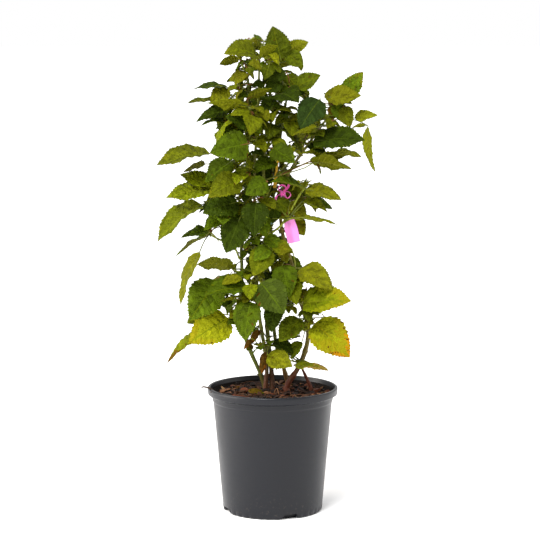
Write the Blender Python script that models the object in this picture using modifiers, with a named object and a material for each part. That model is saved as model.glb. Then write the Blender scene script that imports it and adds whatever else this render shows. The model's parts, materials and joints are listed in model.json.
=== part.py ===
"""A potted bramble bush: five tied canes, side shoots with toothed leaves, and a nursery pot of bark.

Run it with: blender --background --python part.py

Units are metres, +Z is up, and the origin is the middle of the pot's flat underside. The front is at -Y.
A bearing is in degrees about +Z: 0 is right (+X), 90 is back (+Y), 180 is left and 270 is front.
Each cane and bough is one tapering limb. Each shoot is one mass of foliage: a stem that starts beside
its limb, leaf stalks along it, and leaves of one or three blades, grown by a seeded rule and fused
into one solid.
"""

import math
import random
from collections import namedtuple

import bmesh
import bpy
import numpy as np
from mathutils import Matrix, Vector
from mathutils.bvhtree import BVHTree

# ---------------------------------------------------------------- driving dimensions
POT_HEIGHT = 0.219
RIM_RADIUS = 0.1145
BAND_RADIUS = 0.1065
SHOULDER_RADIUS = 0.1043
BASE_RADIUS = 0.0883
POT_WALL = 0.0020
POT_FLOOR = 0.0030
SOIL_LEVEL = 0.2090
TURNED_STEPS = 48

DRAIN_SLOTS = 4
DRAIN_FIRST_BEARING = 291.0
DRAIN_WIDTH = 0.036
DRAIN_HEIGHT = 0.0085
DRAIN_DEPTH = 0.0120

SEAT_GAP = 0.0003
LIMB_EXTRA_STEPS = 2
FLARE_RUN = 0.012
LIMB_SIDES = 8
LIMB_BEVEL_RESOLUTION = 2

STEM_RADIUS = 0.0018
STALK_RADIUS = 0.00085
STALK_TIP_RADIUS = 0.00080
SIDE_ROOT_RADIUS = 0.00036
TWIG_SIDES = 3
BLADE_THICKNESS = 0.0012
LEAF_CLEARANCE = 0.0011

TIE_HEIGHT = 505
TIE_TALL = 0.009
TIE_WALL = 0.0010
TIE_GAP = 0.0006
TIED_CANES = ("cane_left", "cane_front", "cane_middle", "cane_back")

# ---------------------------------------------------------------- the plan of the plant
# A cane stands on the bark with a flat foot. A bough starts beside its parent, at its first point's height.
Limb = namedtuple("Limb", "name parent foot_radius tip_radius flare points")
LIMBS = (
    Limb("cane_left", None, 0.0036, 0.0017, 1.3, (
        (-0.015, 0.014, 0.2093), (-0.015, 0.014, 0.222), (-0.028, 0.011, 0.255),
        (-0.047, 0.006, 0.301), (-0.057, 0.003, 0.351), (-0.054, 0.002, 0.411),
        (-0.055, 0.002, 0.466), (-0.052, 0.002, 0.522), (-0.045, 0.002, 0.592),
        (-0.044, 0.003, 0.670), (-0.041, 0.002, 0.739), (-0.048, 0.000, 0.770),
        (-0.055, -0.003, 0.788))),
    Limb("cane_front", None, 0.0034, 0.0017, 1.3, (
        (-0.013, -0.002, 0.2093), (-0.013, -0.002, 0.222), (-0.010, -0.004, 0.262),
        (-0.015, -0.009, 0.293), (-0.021, -0.011, 0.330), (-0.026, -0.012, 0.372),
        (-0.029, -0.012, 0.425), (-0.030, -0.010, 0.475), (-0.031, -0.009, 0.539),
        (-0.032, -0.008, 0.583), (-0.029, -0.009, 0.652), (-0.025, -0.010, 0.722),
        (-0.023, -0.010, 0.790))),
    Limb("cane_middle", None, 0.0040, 0.0018, 1.4, (
        (-0.001, 0.002, 0.2093), (-0.001, 0.002, 0.222), (-0.003, 0.002, 0.255),
        (-0.008, 0.002, 0.300), (-0.011, 0.002, 0.345), (-0.013, 0.003, 0.390),
        (-0.012, 0.003, 0.434), (-0.012, 0.000, 0.487), (-0.014, 0.001, 0.539),
        (-0.016, 0.002, 0.583), (-0.014, 0.003, 0.635), (-0.008, 0.006, 0.704),
        (-0.001, 0.008, 0.756), (0.006, 0.010, 0.780))),
    Limb("cane_right", None, 0.0044, 0.0018, 1.6, (
        (0.024, -0.006, 0.2093), (0.024, -0.006, 0.220), (0.034, -0.006, 0.237),
        (0.047, -0.005, 0.257), (0.057, -0.004, 0.284), (0.062, -0.004, 0.309),
        (0.060, -0.004, 0.333), (0.051, -0.004, 0.364), (0.041, -0.004, 0.399),
        (0.034, -0.003, 0.434), (0.021, -0.001, 0.474), (0.014, 0.000, 0.510),
        (0.015, 0.000, 0.553), (0.027, -0.002, 0.594), (0.056, -0.004, 0.637),
        (0.089, -0.006, 0.684), (0.112, -0.008, 0.706))),
    Limb("cane_back", None, 0.0036, 0.0016, 1.3, (
        (0.027, 0.017, 0.2093), (0.027, 0.017, 0.220), (0.018, 0.014, 0.253),
        (0.009, 0.012, 0.280), (0.002, 0.013, 0.318), (-0.001, 0.014, 0.372),
        (0.000, 0.014, 0.425), (-0.003, 0.012, 0.478), (-0.002, 0.012, 0.522),
        (0.006, 0.014, 0.592), (0.014, 0.015, 0.661), (0.023, 0.013, 0.718),
        (0.032, 0.012, 0.745), (0.040, 0.012, 0.762))),
    Limb("old_stub", None, 0.0032, 0.0019, 1.2, (
        (0.067, 0.004, 0.2093), (0.067, 0.004, 0.216), (0.060, 0.004, 0.232),
        (0.051, 0.003, 0.252))),
    Limb("bough_left", "cane_left", 0.0019, 0.0013, 1.0, (
        (-0.054, 0.002, 0.446), (-0.064, -0.008, 0.462), (-0.076, -0.010, 0.472),
        (-0.092, -0.011, 0.480), (-0.108, -0.012, 0.488))),
    Limb("bough_left_low", "cane_front", 0.0017, 0.0012, 1.0, (
        (-0.027, -0.012, 0.394), (-0.040, -0.019, 0.408), (-0.052, -0.020, 0.417),
        (-0.066, -0.020, 0.426))),
    Limb("bough_right", "cane_middle", 0.0020, 0.0014, 1.0, (
        (-0.012, 0.000, 0.484), (-0.003, -0.012, 0.491), (0.015, -0.017, 0.506),
        (0.033, -0.020, 0.534), (0.044, -0.022, 0.555), (0.056, -0.024, 0.572))),
)

# A shoot is one mass of foliage: a stem that starts beside its limb at a height in mm (0 is the limb's
# tip), leaves that are placed one by one, and then more leaves that the rule sets where it finds room.
# A placed leaf is where its stalk ends, in mm to the right, back and up from the stem's start, and then
# its blades: each has a length in mm, a bearing, the droop of its tip below level, and the turn of its
# upper side to the front.
Shoot = namedtuple("Shoot", "name limb height arch more leaves")
SHOOTS = (
    # crown top
    Shoot("top_arching", "cane_front", 0, 75, 1, (
        ((-4, -4, 6), (58, 196, -4, 40),),
        ((2, -8, 2), (38, 338, -32, -20)))),
    Shoot("top_left", "cane_left", 0, 30, 1, (
        ((-1, 3, 3), (35, 183, 15, -35)),
        ((11, -15, -24), (35, 216, 38, 40)),
        ((37, -17, -11), (32, 207, -12, 40)))),
    Shoot("top_upright", "cane_middle", 0, 25, 2, (
        ((8, -6, 9), (58, 172, -76, 75)),
        ((16, -2, 24), (42, 3, -26, -70), (40, 345, 38, 60)),
        ((6, -20, 5), (28, 220, -30, 60)))),
    Shoot("top_right", "cane_back", 735, 25, 2, (
        ((14, -18, 9), (44, 354, -26, 60)),
        ((-4, -20, 34), (34, 190, 20, 55)),
        ((-13, -26, 20), (38, 196, 28, 55)))),
    # upper left
    Shoot("upper_left_high", "cane_left", 735, 20, 1, (
        ((-31, -2, 9), (60, 186, 3, 12), (43, 216, 38, 45)),)),
    Shoot("upper_left_wing", "cane_left", 712, 15, 1, (
        ((-42, -10, 12), (66, 184, -2, 6)),
        ((-42, 4, 13), (40, 197, 12, 25)))),
    Shoot("upper_left_lime", "cane_front", 690, 20, 2, (
        ((-12, -20, 23), (80, 193, -4, -16)),
        ((-15, -26, 35), (46, 344, -22, -22)))),
    Shoot("upper_left_dark", "cane_left", 680, 25, 1, (
        ((-22, -5, 26), (66, 189, 19, 22)),
        ((-34, -9, 6), (43, 191, 11, 10)))),
    Shoot("upper_left_shield", "cane_left", 640, 30, 1, (
        ((4, -65, 11), (70, 201, 12, 70)),
        ((-18, -37, 59), (60, 205, 53, -14)),
        ((6, -48, 39), (46, 200, -20, 50)))),
    Shoot("left_long", "cane_left", 600, 12, 1, (
        ((-58, -12, 30), (94, 190, 12, 12)),
        ((-67, -4, 11), (42, 201, 18, -30)),
        ((-22, -28, 18), (58, 203, 35, 42)))),
    Shoot("left_fan", "cane_left", 560, 25, 1, (
        ((-52, -16, 8), (82, 191, 10, 22), (60, 169, -22, 24)),
        ((-70, -24, -17), (100, 196, 39, 14)))),
    Shoot("left_front_yellow", "cane_front", 602, 30, 1, (
        ((-23, -46, -14), (64, 203, 26, 55)),)),
    Shoot("left_front_dark", "cane_front", 545, 30, 1, (
        ((-25, -31, 4), (66, 200, 15, 52)),
        ((-22, -35, -22), (66, 223, 61, 55)),
        ((-49, -20, -24), (42, 200, 28, 40)))),
    # middle and low left
    Shoot("left_pale", "bough_left", 0, 20, 0, (
        ((-1, -6, 6), (48, 187, 12, 22), (23, 325, 40, -30)),
        ((2, 14, 0), (72, 176, 33, -6)),
        ((-16, -34, -24), (97, 205, 68, -8)))),
    Shoot("left_level", "bough_left_low", 0, 25, 0, (
        ((0, -2, 6), (64, 193, -6, -34)),)),
    Shoot("left_low_broad", "cane_left", 398, 30, 0, (
        ((-37, -12, 11), (84, 200, 54, 60)),)),
    Shoot("left_low_shelf", "cane_front", 405, 30, 0, (
        ((-11, -34, -5), (80, 199, 6, 22)),
        ((-24, -22, 16), (40, 195, 14, 30)),
        ((-24, -22, -21), (42, 203, 11, -20)))),
    Shoot("left_low_yellow", "cane_left", 345, 35, 0, (
        ((-20, -23, -3), (88, 200, 28, 60)),
        ((-49, -9, 7), (45, 191, 24, 40)),
        ((-76, -17, -22), (76, 185, 50, -4)))),
    Shoot("foot_withered", "cane_front", 290, 60, 0, (
        ((-18, -21, 20), (22, 196, 50, 50)),
        ((-20, -16, 8), (24, 240, 30, 30)))),
    # front
    Shoot("front_round", "cane_front", 585, 25, 1, (
        ((22, -52, 1), (46, 207, 25, 60)),)),
    Shoot("front_dark", "cane_middle", 540, 30, 1, (
        ((-13, -63, 12), (62, 259, 65, 5)),)),
    Shoot("front_middle", "cane_middle", 470, 25, 1, (
        ((2, -41, 2), (56, 222, 58, 45)),
        ((-3, -31, 17), (38, 338, 32, 40)),
        ((18, -47, -6), (30, 334, -10, 50)))),
    Shoot("front_low_dark", "cane_middle", 406, 30, 1, (
        ((1, -65, 7), (68, 333, 49, 50)),
        ((17, -43, -38), (44, 240, 72, 10)))),
    Shoot("front_low_green", "cane_front", 375, 30, 1, (
        ((-16, -50, 5), (68, 245, 69, 5)),)),
    Shoot("front_right_low", "cane_right", 446, 30, 1, (
        ((-12, -34, -6), (58, 299, 65, 30)),)),
    Shoot("foot_yellow", "cane_middle", 292, 30, 0, (
        ((-1, -31, -2), (50, 334, 19, 50)),
        ((6, -19, 10), (41, 344, 28, 25)))),
    # right
    Shoot("right_tip", "cane_right", 0, 20, 0, (
        ((16, -2, 14), (55, 351, -62, 60)),
        ((9, -14, 6), (38, 310, 60, 60)),
        ((27, -6, -15), (40, 357, -6, 34)),
        ((-16, -18, 21), (54, 349, -2, 56)))),
    Shoot("right_hanging", "cane_right", 700, 35, 0, (
        ((56, -13, -19), (78, 350, 80, -16), (24, 190, 10, -50)),)),
    Shoot("right_teal", "cane_right", 672, 30, 1, (
        ((0, -47, 54), (62, 214, 51, 40)),
        ((-3, -45, 6), (46, 191, 19, -30)))),
    Shoot("right_broad", "cane_right", 645, 25, 1, (
        ((6, -36, 8), (90, 346, -2, 34)),
        ((-2, -16, 0), (34, 341, 20, 30)))),
    Shoot("right_lime", "cane_middle", 583, 30, 0, (
        ((74, -22, 34), (73, 355, -14, -18), (77, 350, 9, -34)),
        ((88, -30, 34), (22, 322, 72, -30)))),
    Shoot("front_upper_right", "cane_middle", 640, 30, 1, (
        ((11, -51, 2), (50, 328, 28, 45)),)),
    Shoot("right_tier", "bough_right", 0, 25, 1, (
        ((-2, -4, -4), (64, 350, 16, 24), (60, 198, -12, 12)),
        ((22, -16, -12), (40, 343, 18, -30)))),
    Shoot("right_level", "bough_right", 515, 25, 0, (
        ((30, -21, 9), (60, 346, 11, -18)),
        ((28, -11, 35), (45, 352, 22, 22)),
        ((4, -25, 3), (40, 326, 54, 50)))),
    Shoot("right_low_arch", "cane_right", 430, 40, 1, (
        ((9, -23, 1), (68, 339, 31, 34)),)),
    Shoot("right_low_green", "cane_right", 372, 25, 0, (
        ((2, -32, -1), (85, 345, -4, 44)),)),
    Shoot("right_low_gold", "cane_right", 345, 25, 0, (
        ((12, -20, -9), (86, 337, 39, 56)),)),
    Shoot("foot_right", "cane_right", 264, 25, 0, (
        ((-11, -23, -3), (60, 352, 7, 12)),)),
    Shoot("foot_olive", "cane_right", 320, 30, 0, (
        ((-10, -18, 24), (55, 206, 43, 45)),
        ((-8, -14, -17), (35, 199, 58, 25)))),
)

# A rear shoot has no placed leaves. The rule sets them all, from a stem with a bearing, a rise and a
# length in mm, and blade is the length in mm of its largest leaf's middle blade.
Rear = namedtuple("Rear", "name limb height bearing rise stem blade more")
REARS = (
    Rear("rear_high", "cane_middle", 730, 95, 30, 30, 66, 5),
    Rear("rear_upper_left", "cane_left", 665, 125, 20, 34, 72, 5),
    Rear("rear_upper_right", "cane_back", 670, 60, 20, 36, 74, 5),
    Rear("rear_middle", "cane_back", 590, 110, 15, 40, 80, 5),
    Rear("rear_left", "cane_left", 520, 140, 15, 40, 80, 5),
    Rear("rear_right", "cane_right", 540, 50, 15, 40, 76, 5),
    Rear("rear_low", "cane_back", 430, 95, 5, 44, 84, 6),
)

# The crown's bounds for the rule's leaves: at each height in mm, how far they may spread to either side.
Spread = namedtuple("Spread", "height left right")
CROWN = (
    Spread(230, -40, 40), Spread(300, -50, 40), Spread(330, -128, 100), Spread(410, -120, 80),
    Spread(430, -46, 60), Spread(460, -60, 34), Spread(495, -95, 42), Spread(530, -135, 90),
    Spread(565, -135, 90), Spread(585, -120, 35), Spread(600, -100, 25), Spread(625, -98, 60),
    Spread(650, -98, 140), Spread(690, -110, 120), Spread(720, -100, 62), Spread(755, -80, 72),
    Spread(790, -55, 52), Spread(850, -30, 40),
)
CROWN_BACK = 0.170
SIGHT_RISE = 0.10

SEED = "bramble"
MM = 0.001

# ---------------------------------------------------------------- vectors and paths
UP = np.array([0.0, 0.0, 1.0])
FRONT = np.array([0.0, -1.0, 0.0])


def unit(v):
    return v / np.linalg.norm(v)


def heading(bearing, rise):
    """The unit vector with this bearing and this many degrees above level."""
    b, r = math.radians(bearing), math.radians(rise)
    return np.array([math.cos(b) * math.cos(r), math.sin(b) * math.cos(r), math.sin(r)])


def turned(v, axis, degrees):
    """v turned about a unit axis by the right-hand rule."""
    a = math.radians(degrees)
    return v * math.cos(a) + np.cross(axis, v) * math.sin(a) + axis * (axis @ v) * (1 - math.cos(a))


def across(direction, wanted):
    """The unit vector nearest to wanted that is square to direction."""
    return unit(wanted - (wanted @ direction) * direction)


def sagging(start, direction, length, sag, count):
    """Points from start along direction, pulled down by sag times the length at the far end."""
    t = np.linspace(0.0, 1.0, count)[:, None]
    return start + direction * length * t - UP * sag * length * t**2


def smooth_path(points, count):
    """count points on a Catmull-Rom curve through the given points, evenly spread over its spans."""
    p = np.array(points, float)
    p = np.vstack([2 * p[0] - p[1], p, 2 * p[-1] - p[-2]])
    spans = len(p) - 3
    found = []
    for x in np.linspace(0.0, spans, count):
        i = min(int(x), spans - 1)
        t = x - i
        a, b, c, d = p[i : i + 4]
        found.append(0.5 * (2 * b + (c - a) * t + (2 * a - 5 * b + 4 * c - d) * t**2
                            + (3 * b - 3 * c + d - a) * t**3))
    return np.array(found)


def stem_start(shape, height, direction, radius):
    """(start, way) of a stem of this radius on a limb's shape, at a height in mm, or past the tip for 0.

    It stands SEAT_GAP clear of the limb, on the side it heads for. Past a tip its way is between its own
    and the limb's."""
    path, radii = shape
    if height == 0:
        tangent = unit(path[-1] - path[-2])
        way = unit(1.2 * tangent + direction)
        slant = math.sqrt(max(0.0, 1.0 - (tangent @ way) ** 2))
        return path[-1] + tangent * (SEAT_GAP + radius * slant), way
    centre, tangent, thickness = place_on(shape, height)
    outward = across(tangent, direction * np.array([1.0, 1.0, 0.0]))
    slant = math.sqrt(max(0.0, 1.0 - (outward @ direction) ** 2))
    return centre + outward * (thickness + SEAT_GAP + radius * slant), direction


def place_on(shape, height):
    """(centre, tangent, radius) of a limb's shape at a height in mm."""
    path, radii = shape
    order = np.argsort(path[:, 2])
    heights = path[order, 2]
    centre = np.array([np.interp(height * MM, heights, path[order, k]) for k in range(3)])
    nearest = int(np.argmin(np.abs(path[:, 2] - height * MM)))
    tangent = unit(path[min(nearest + 1, len(path) - 1)] - path[max(nearest - 1, 0)])
    return centre, tangent, np.interp(height * MM, heights, radii[order])


def limb_shapes():
    """{limb name: (points, radii)}. A limb tapers evenly, and its foot flares over its last FLARE_RUN."""
    shapes = {}
    for limb in LIMBS:
        points = list(limb.points)
        if limb.parent:
            way = unit(np.subtract(points[1], points[0]))
            start, way = stem_start(shapes[limb.parent], points[0][2] / MM, way, limb.foot_radius)
            points[0:1] = [start, start + way * 0.004]
        path = smooth_path(points, len(points) + LIMB_EXTRA_STEPS)
        if not limb.parent:
            path[1, :2] = path[0, :2]
        run = np.concatenate([[0.0], np.cumsum(np.linalg.norm(np.diff(path, axis=0), axis=1))])
        radii = limb.foot_radius + (limb.tip_radius - limb.foot_radius) * run / run[-1]
        shapes[limb.name] = (path, radii * (1.0 + (limb.flare - 1.0) * np.exp(-run / FLARE_RUN)))
    return shapes


# ---------------------------------------------------------------- meshes as (vertices, faces)
def tube(path, radii, sides):
    """A closed tube: a ring of points square to the path at each of its points, with flat ends."""
    path = np.asarray(path, float)
    radii = np.broadcast_to(radii, len(path))
    tangents = np.gradient(path, axis=0)
    tangents /= np.linalg.norm(tangents, axis=1)[:, None]
    side = across(tangents[0], np.array([0.31, 0.57, 0.76]))
    angles = np.arange(sides) * 2 * math.pi / sides
    rings = []
    for point, tangent, radius in zip(path, tangents, radii):
        side = across(tangent, side)
        other = np.cross(tangent, side)
        rings.append(point + radius * (np.outer(np.cos(angles), side) + np.outer(np.sin(angles), other)))
    faces = []
    for i in range(len(path) - 1):
        for k in range(sides):
            a, b = i * sides + k, i * sides + (k + 1) % sides
            faces.append((a, b, b + sides, a + sides))
    last = (len(path) - 1) * sides
    faces.append(tuple(range(sides))[::-1])
    faces.append(tuple(range(last, last + sides)))
    return np.vstack(rings), faces


Blade = namedtuple("Blade", "base along face length width arch fold")


def blade_outline(u):
    """Half-width of a blade at u along its midrib, as a share of its widest: blunt base, drawn-out tip."""
    return u**0.6 * (1.0 - u) ** 1.2 / 0.3180


def blade_points(blade, u, v):
    """Points on a blade's middle surface at u (0 base, 1 tip) and v (-1 left edge, 0 midrib, 1 right).

    The midrib is an arc that bends away from the upper side by arch degrees. fold lifts each half."""
    u, v = np.asarray(u, float)[..., None], np.asarray(v, float)[..., None]
    arch, fold = math.radians(blade.arch), math.radians(blade.fold)
    angle = arch * u
    ahead = blade.length * np.sin(angle) / arch
    down = blade.length * (1.0 - np.cos(angle)) / arch
    lift = blade.face * np.cos(angle) + blade.along * np.sin(angle)
    half = 0.5 * blade.width * blade_outline(u) * v
    side = np.cross(blade.face, blade.along)
    return (blade.base + blade.along * ahead - blade.face * down
            + side * half * math.cos(fold) + lift * np.abs(half) * math.sin(fold))


FINE_EDGE = (0.10, 0.40, 0.74)
PLAIN_EDGE = (0.14, 0.56)
CREST_U = 0.42


def leaflet(path, radii, blade, thickness, edge):
    """A closed three-sided stalk along path that opens into a thin blade.

    edge gives the places along the midrib where each edge of the blade has a point. The blade is as
    thick as asked at one point of its midrib, and thins out to its edges. The stalk's last ring lies at
    the blade's base."""
    side = np.cross(blade.face, blade.along)
    points = np.vstack([path, blade.base])
    tangents = np.gradient(points, axis=0)
    tangents[-1] = blade.along
    angles = np.radians([30.0, 150.0, 270.0])
    rings = []
    for point, tangent, radius in zip(points[::-1], tangents[::-1], radii[::-1]):
        tangent = unit(tangent)
        side = across(tangent, side)
        other = np.cross(tangent, side)
        rings.append(point + radius * (np.outer(np.cos(angles), side) + np.outer(np.sin(angles), other)))
    rings.reverse()
    faces = [(2, 1, 0)]
    for i in range(len(points) - 1):
        for k in range(3):
            a, b = 3 * i + k, 3 * i + (k + 1) % 3
            faces.append((a, b, b + 3, a + 3))
    right, left, under = (3 * (len(points) - 1) + k for k in range(3))
    count = len(edge)
    first = right + 3
    outline = [left, *range(first, first + 2 * count + 1), right]
    shape = blade_points(blade, [*edge, 1.0, *reversed(edge)], [-1.0] * count + [0.0] + [1.0] * count)
    crest = blade_points(blade, CREST_U, 0.0)
    bend = math.radians(blade.arch) * CREST_U
    lift = 0.5 * thickness * (blade.face * math.cos(bend) + blade.along * math.sin(bend))
    upper, lower = first + 2 * count + 1, first + 2 * count + 2
    for a, b in zip(outline, outline[1:]):
        faces += [(a, b, upper), (b, a, lower)]
    faces += [(right, left, upper), (left, under, lower), (under, right, lower)]
    return np.vstack([*rings, shape, crest + lift, crest - lift]), faces


# ---------------------------------------------------------------- room between the pieces
class Crowd:
    """The pieces that have a place so far. A new piece takes its place only if it meets none of them."""

    def __init__(self):
        self.placed = []

    def add(self, owner, vertices, faces):
        tree = BVHTree.FromPolygons(vertices.tolist(), faces)
        self.placed.append((owner, vertices.min(0), vertices.max(0), tree))

    def meets(self, vertices, faces, besides=()):
        low, high = vertices.min(0), vertices.max(0)
        tree = None
        for owner, its_low, its_high, its_tree in self.placed:
            if owner in besides or (low > its_high).any() or (high < its_low).any():
                continue
            tree = tree or BVHTree.FromPolygons(vertices.tolist(), faces)
            if tree.overlap(its_tree):
                return True
        return False


def roomy_tube(path, radius):
    """The space that a stalk needs: its tube with the clearance round it."""
    return tube(path, radius + LEAF_CLEARANCE, 4)


def blade_alone(blade, clearance):
    """A blade with no stalk, larger by the clearance all round."""
    grown = blade._replace(length=blade.length + 2 * clearance, width=blade.width + 3 * clearance)
    root = [blade.base - blade.along * max(clearance, 0.0005)]
    radius = STALK_TIP_RADIUS + clearance
    return leaflet(root, [radius, radius], grown, BLADE_THICKNESS + 2 * clearance, FINE_EDGE)


# ---------------------------------------------------------------- the rule that grows a shoot
Leaf = namedtuple("Leaf", "stalk blades edge")
BLADE_WIDTH_SHARE = 0.78
SIDE_BLADE_SHARE = 0.80
TRIES = 30
LEAST_SHARE = 0.60
POT_CLEARANCE = 0.008


def stalk_path(root, stem_way, hub, arriving, count):
    """A curved stalk from root to hub. It sets off between the way of its stem and the way to the hub."""
    leaving = unit(0.5 * stem_way + unit(hub - root))
    reach = 0.35 * np.linalg.norm(hub - root)
    a, b = root + leaving * reach, hub - arriving * reach
    t = np.linspace(0.0, 1.0, count)[:, None]
    return (1 - t) ** 3 * root + 3 * (1 - t) ** 2 * t * a + 3 * (1 - t) * t**2 * b + t**3 * hub


def aimed_blade(hub, offset, length, bearing, droop, turn, arch, fold):
    """A blade with its tip at this length, bearing and droop from its base."""
    chord = heading(bearing, -droop)
    upper = across(chord, UP if abs(chord[2]) < 0.97 else -heading(bearing, 0.0))
    side = np.cross(chord, upper)
    upper = turned(upper, chord, turn if side @ FRONT >= 0 else -turn)
    half = 0.5 * math.radians(arch)
    along = chord * math.cos(half) + upper * math.sin(half)
    face = upper * math.cos(half) - chord * math.sin(half)
    full = length * half / math.sin(half)
    return Blade(hub + along * offset, along, face, full, full * BLADE_WIDTH_SHARE, arch, fold)


def placed_leaf(root, stem_way, hub, rows, arch, rng):
    """A leaf of the plan: its stalk, and a blade for each row of length, bearing, droop and turn."""
    blades = [aimed_blade(hub, 0.004 if k else 0.002, row[0] * MM, *row[1:], arch * rng.uniform(0.8, 1.2),
                          rng.uniform(8, 18)) for k, row in enumerate(rows)]
    arriving = unit(unit(hub - root) + 0.7 * blades[0].along)
    return Leaf(stalk_path(root, stem_way, hub, arriving, 3), blades, FINE_EDGE)


def free_leaf(root, stem_way, bearing, rise, reach, length, droop, arch, rng):
    """A leaf of the rule: one middle blade, and a smaller one that stands out on each side of it."""
    hub = root + heading(bearing, rise) * reach
    turn = rng.uniform(-10, 35)
    middle = aimed_blade(hub, 0.24 * length, length, bearing, droop, turn, arch, rng.uniform(8, 18))
    blades = [middle]
    spread = rng.uniform(66, 82)
    for sign in (1, -1):
        along = turned(middle.along, middle.face, sign * spread)
        along = unit(along - 0.12 * UP)
        face = turned(across(along, middle.face), along, rng.uniform(-12, 12))
        full = middle.length * SIDE_BLADE_SHARE * rng.uniform(0.88, 1.08)
        blades.append(Blade(hub + along * 0.004, along, face, full, full * BLADE_WIDTH_SHARE,
                            arch * rng.uniform(0.7, 1.1), rng.uniform(8, 18)))
    arriving = unit(unit(hub - root) + 0.7 * middle.along)
    return Leaf(stalk_path(root, stem_way, hub, arriving, 3), blades, PLAIN_EDGE)


def leaflets(leaf):
    """A leaf's solids: its stalk with the first blade, and each further blade on a stalk of its own."""
    radii = np.append(np.linspace(STALK_RADIUS, STALK_TIP_RADIUS, len(leaf.stalk)), STALK_TIP_RADIUS)
    found = [leaflet(leaf.stalk, radii, leaf.blades[0], BLADE_THICKNESS, leaf.edge)]
    for blade in leaf.blades[1:]:
        radii = [SIDE_ROOT_RADIUS, STALK_TIP_RADIUS]
        found.append(leaflet(leaf.stalk[-1:], radii, blade, BLADE_THICKNESS, leaf.edge))
    return found


def fitted(leaf, crowd, name):
    """The leaf with the blades that have room, or None where its stalk or its first blade has none."""
    path = np.vstack([leaf.stalk, leaf.blades[0].base])
    path[0] += unit(path[1] - path[0]) * 0.0032
    if crowd.meets(*roomy_tube(path, STALK_RADIUS), besides=(name + "_stem", name)):
        return None
    kept = []
    for blade in leaf.blades:
        vertices, faces = blade_alone(blade, LEAF_CLEARANCE)
        near_pot = np.hypot(vertices[:, 0], vertices[:, 1]) < RIM_RADIUS + POT_CLEARANCE
        low = (vertices[near_pot, 2] < POT_HEIGHT + POT_CLEARANCE).any()
        if not low and not crowd.meets(vertices, faces):
            kept.append(blade)
    if not kept or kept[0] is not leaf.blades[0]:
        return None
    return leaf._replace(blades=kept)


def in_crown(blade):
    """True if a blade stays inside the crown's outline, seen from the front and a little above."""
    tops = blade_points(blade, [0.1, 0.4, 0.4, 1.0], [0.0, 1.0, -1.0, 0.0])
    seen = (tops[:, 2] + SIGHT_RISE * tops[:, 1]) / MM
    heights = [spread.height for spread in CROWN]
    left = np.interp(seen, heights, [spread.left for spread in CROWN])
    right = np.interp(seen, heights, [spread.right for spread in CROWN])
    beside = tops[:, 0] / MM
    return (beside > left).all() and (beside < right).all() and (tops[:, 1] < CROWN_BACK).all()


def best_of(makes, wanted, crowd, name, bounded=False):
    """The first leaf with room for all its wanted blades, or the one with most."""
    best = None
    for leaf in makes:
        if bounded:
            leaf = leaf._replace(blades=[blade for blade in leaf.blades if in_crown(blade)] or None)
            if leaf.blades is None:
                continue
        found = fitted(leaf, crowd, name)
        if found and (best is None or len(found.blades) > len(best.blades)):
            best = found
        if best and len(best.blades) == wanted:
            break
    return best


def settle(crowd, name, leaf):
    """Gives a leaf its place: its stalk may be met by the same mass alone, and its blades by nothing."""
    crowd.add(name, *tube(np.vstack([leaf.stalk, leaf.blades[0].base]), STALK_RADIUS, TWIG_SIDES))
    for blade in leaf.blades:
        crowd.add(name + "_blades", *blade_alone(blade, 0.0))


def stem_of(crowd, name, limb, shape, height, bearing, rise, length):
    """A stem that meets nothing but its limb, at the wanted bearing and height or near them."""
    for attempt in range(TRIES):
        rng = random.Random(f"{SEED}/{name}/stem/{attempt}")
        loose = attempt / TRIES
        direction = heading(bearing + rng.uniform(-70, 70) * loose, rise)
        shifted = height + rng.uniform(-10, 10) * loose if height else 0
        start, way = stem_start(shape, shifted, direction, STEM_RADIUS)
        stem = sagging(start, way, length, 0.05, 3)
        clear = np.vstack([stem[0] + way * 0.0005, stem[1:]])
        if not crowd.meets(*roomy_tube(clear, STEM_RADIUS), besides=(limb,)):
            break
    crowd.add(name + "_stem", *tube(stem, STEM_RADIUS, TWIG_SIDES))
    return stem


def more_leaves(crowd, name, stem, bearing, count, blade, leaves):
    """Adds count leaves of the rule along the stem, each turned on from the last by the golden angle."""
    stem_way = unit(stem[-1] - stem[0])
    for k in range(count):
        seed = f"{SEED}/{name}/more/{k}"
        rng = random.Random(seed)
        root = stem[0] + (stem[-1] - stem[0]) * (0.85 - 0.6 * k / count)
        facing = bearing + 137.5 * k

        def tries():
            for attempt in range(TRIES):
                rng = random.Random(f"{seed}/{attempt}")
                loose = attempt / TRIES
                size = blade * rng.uniform(0.72, 1.0) * (1 - (1 - LEAST_SHARE) * loose)
                yield free_leaf(root, stem_way, facing + rng.uniform(-60, 60) * (0.3 + loose),
                                rng.uniform(-5, 45), rng.uniform(0.020, 0.055), size * MM,
                                rng.uniform(10, 60), rng.uniform(20, 45), rng)

        leaf = best_of(tries(), 3, crowd, name, bounded=True)
        if leaf:
            settle(crowd, name, leaf)
            leaves.append(leaf)


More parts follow.
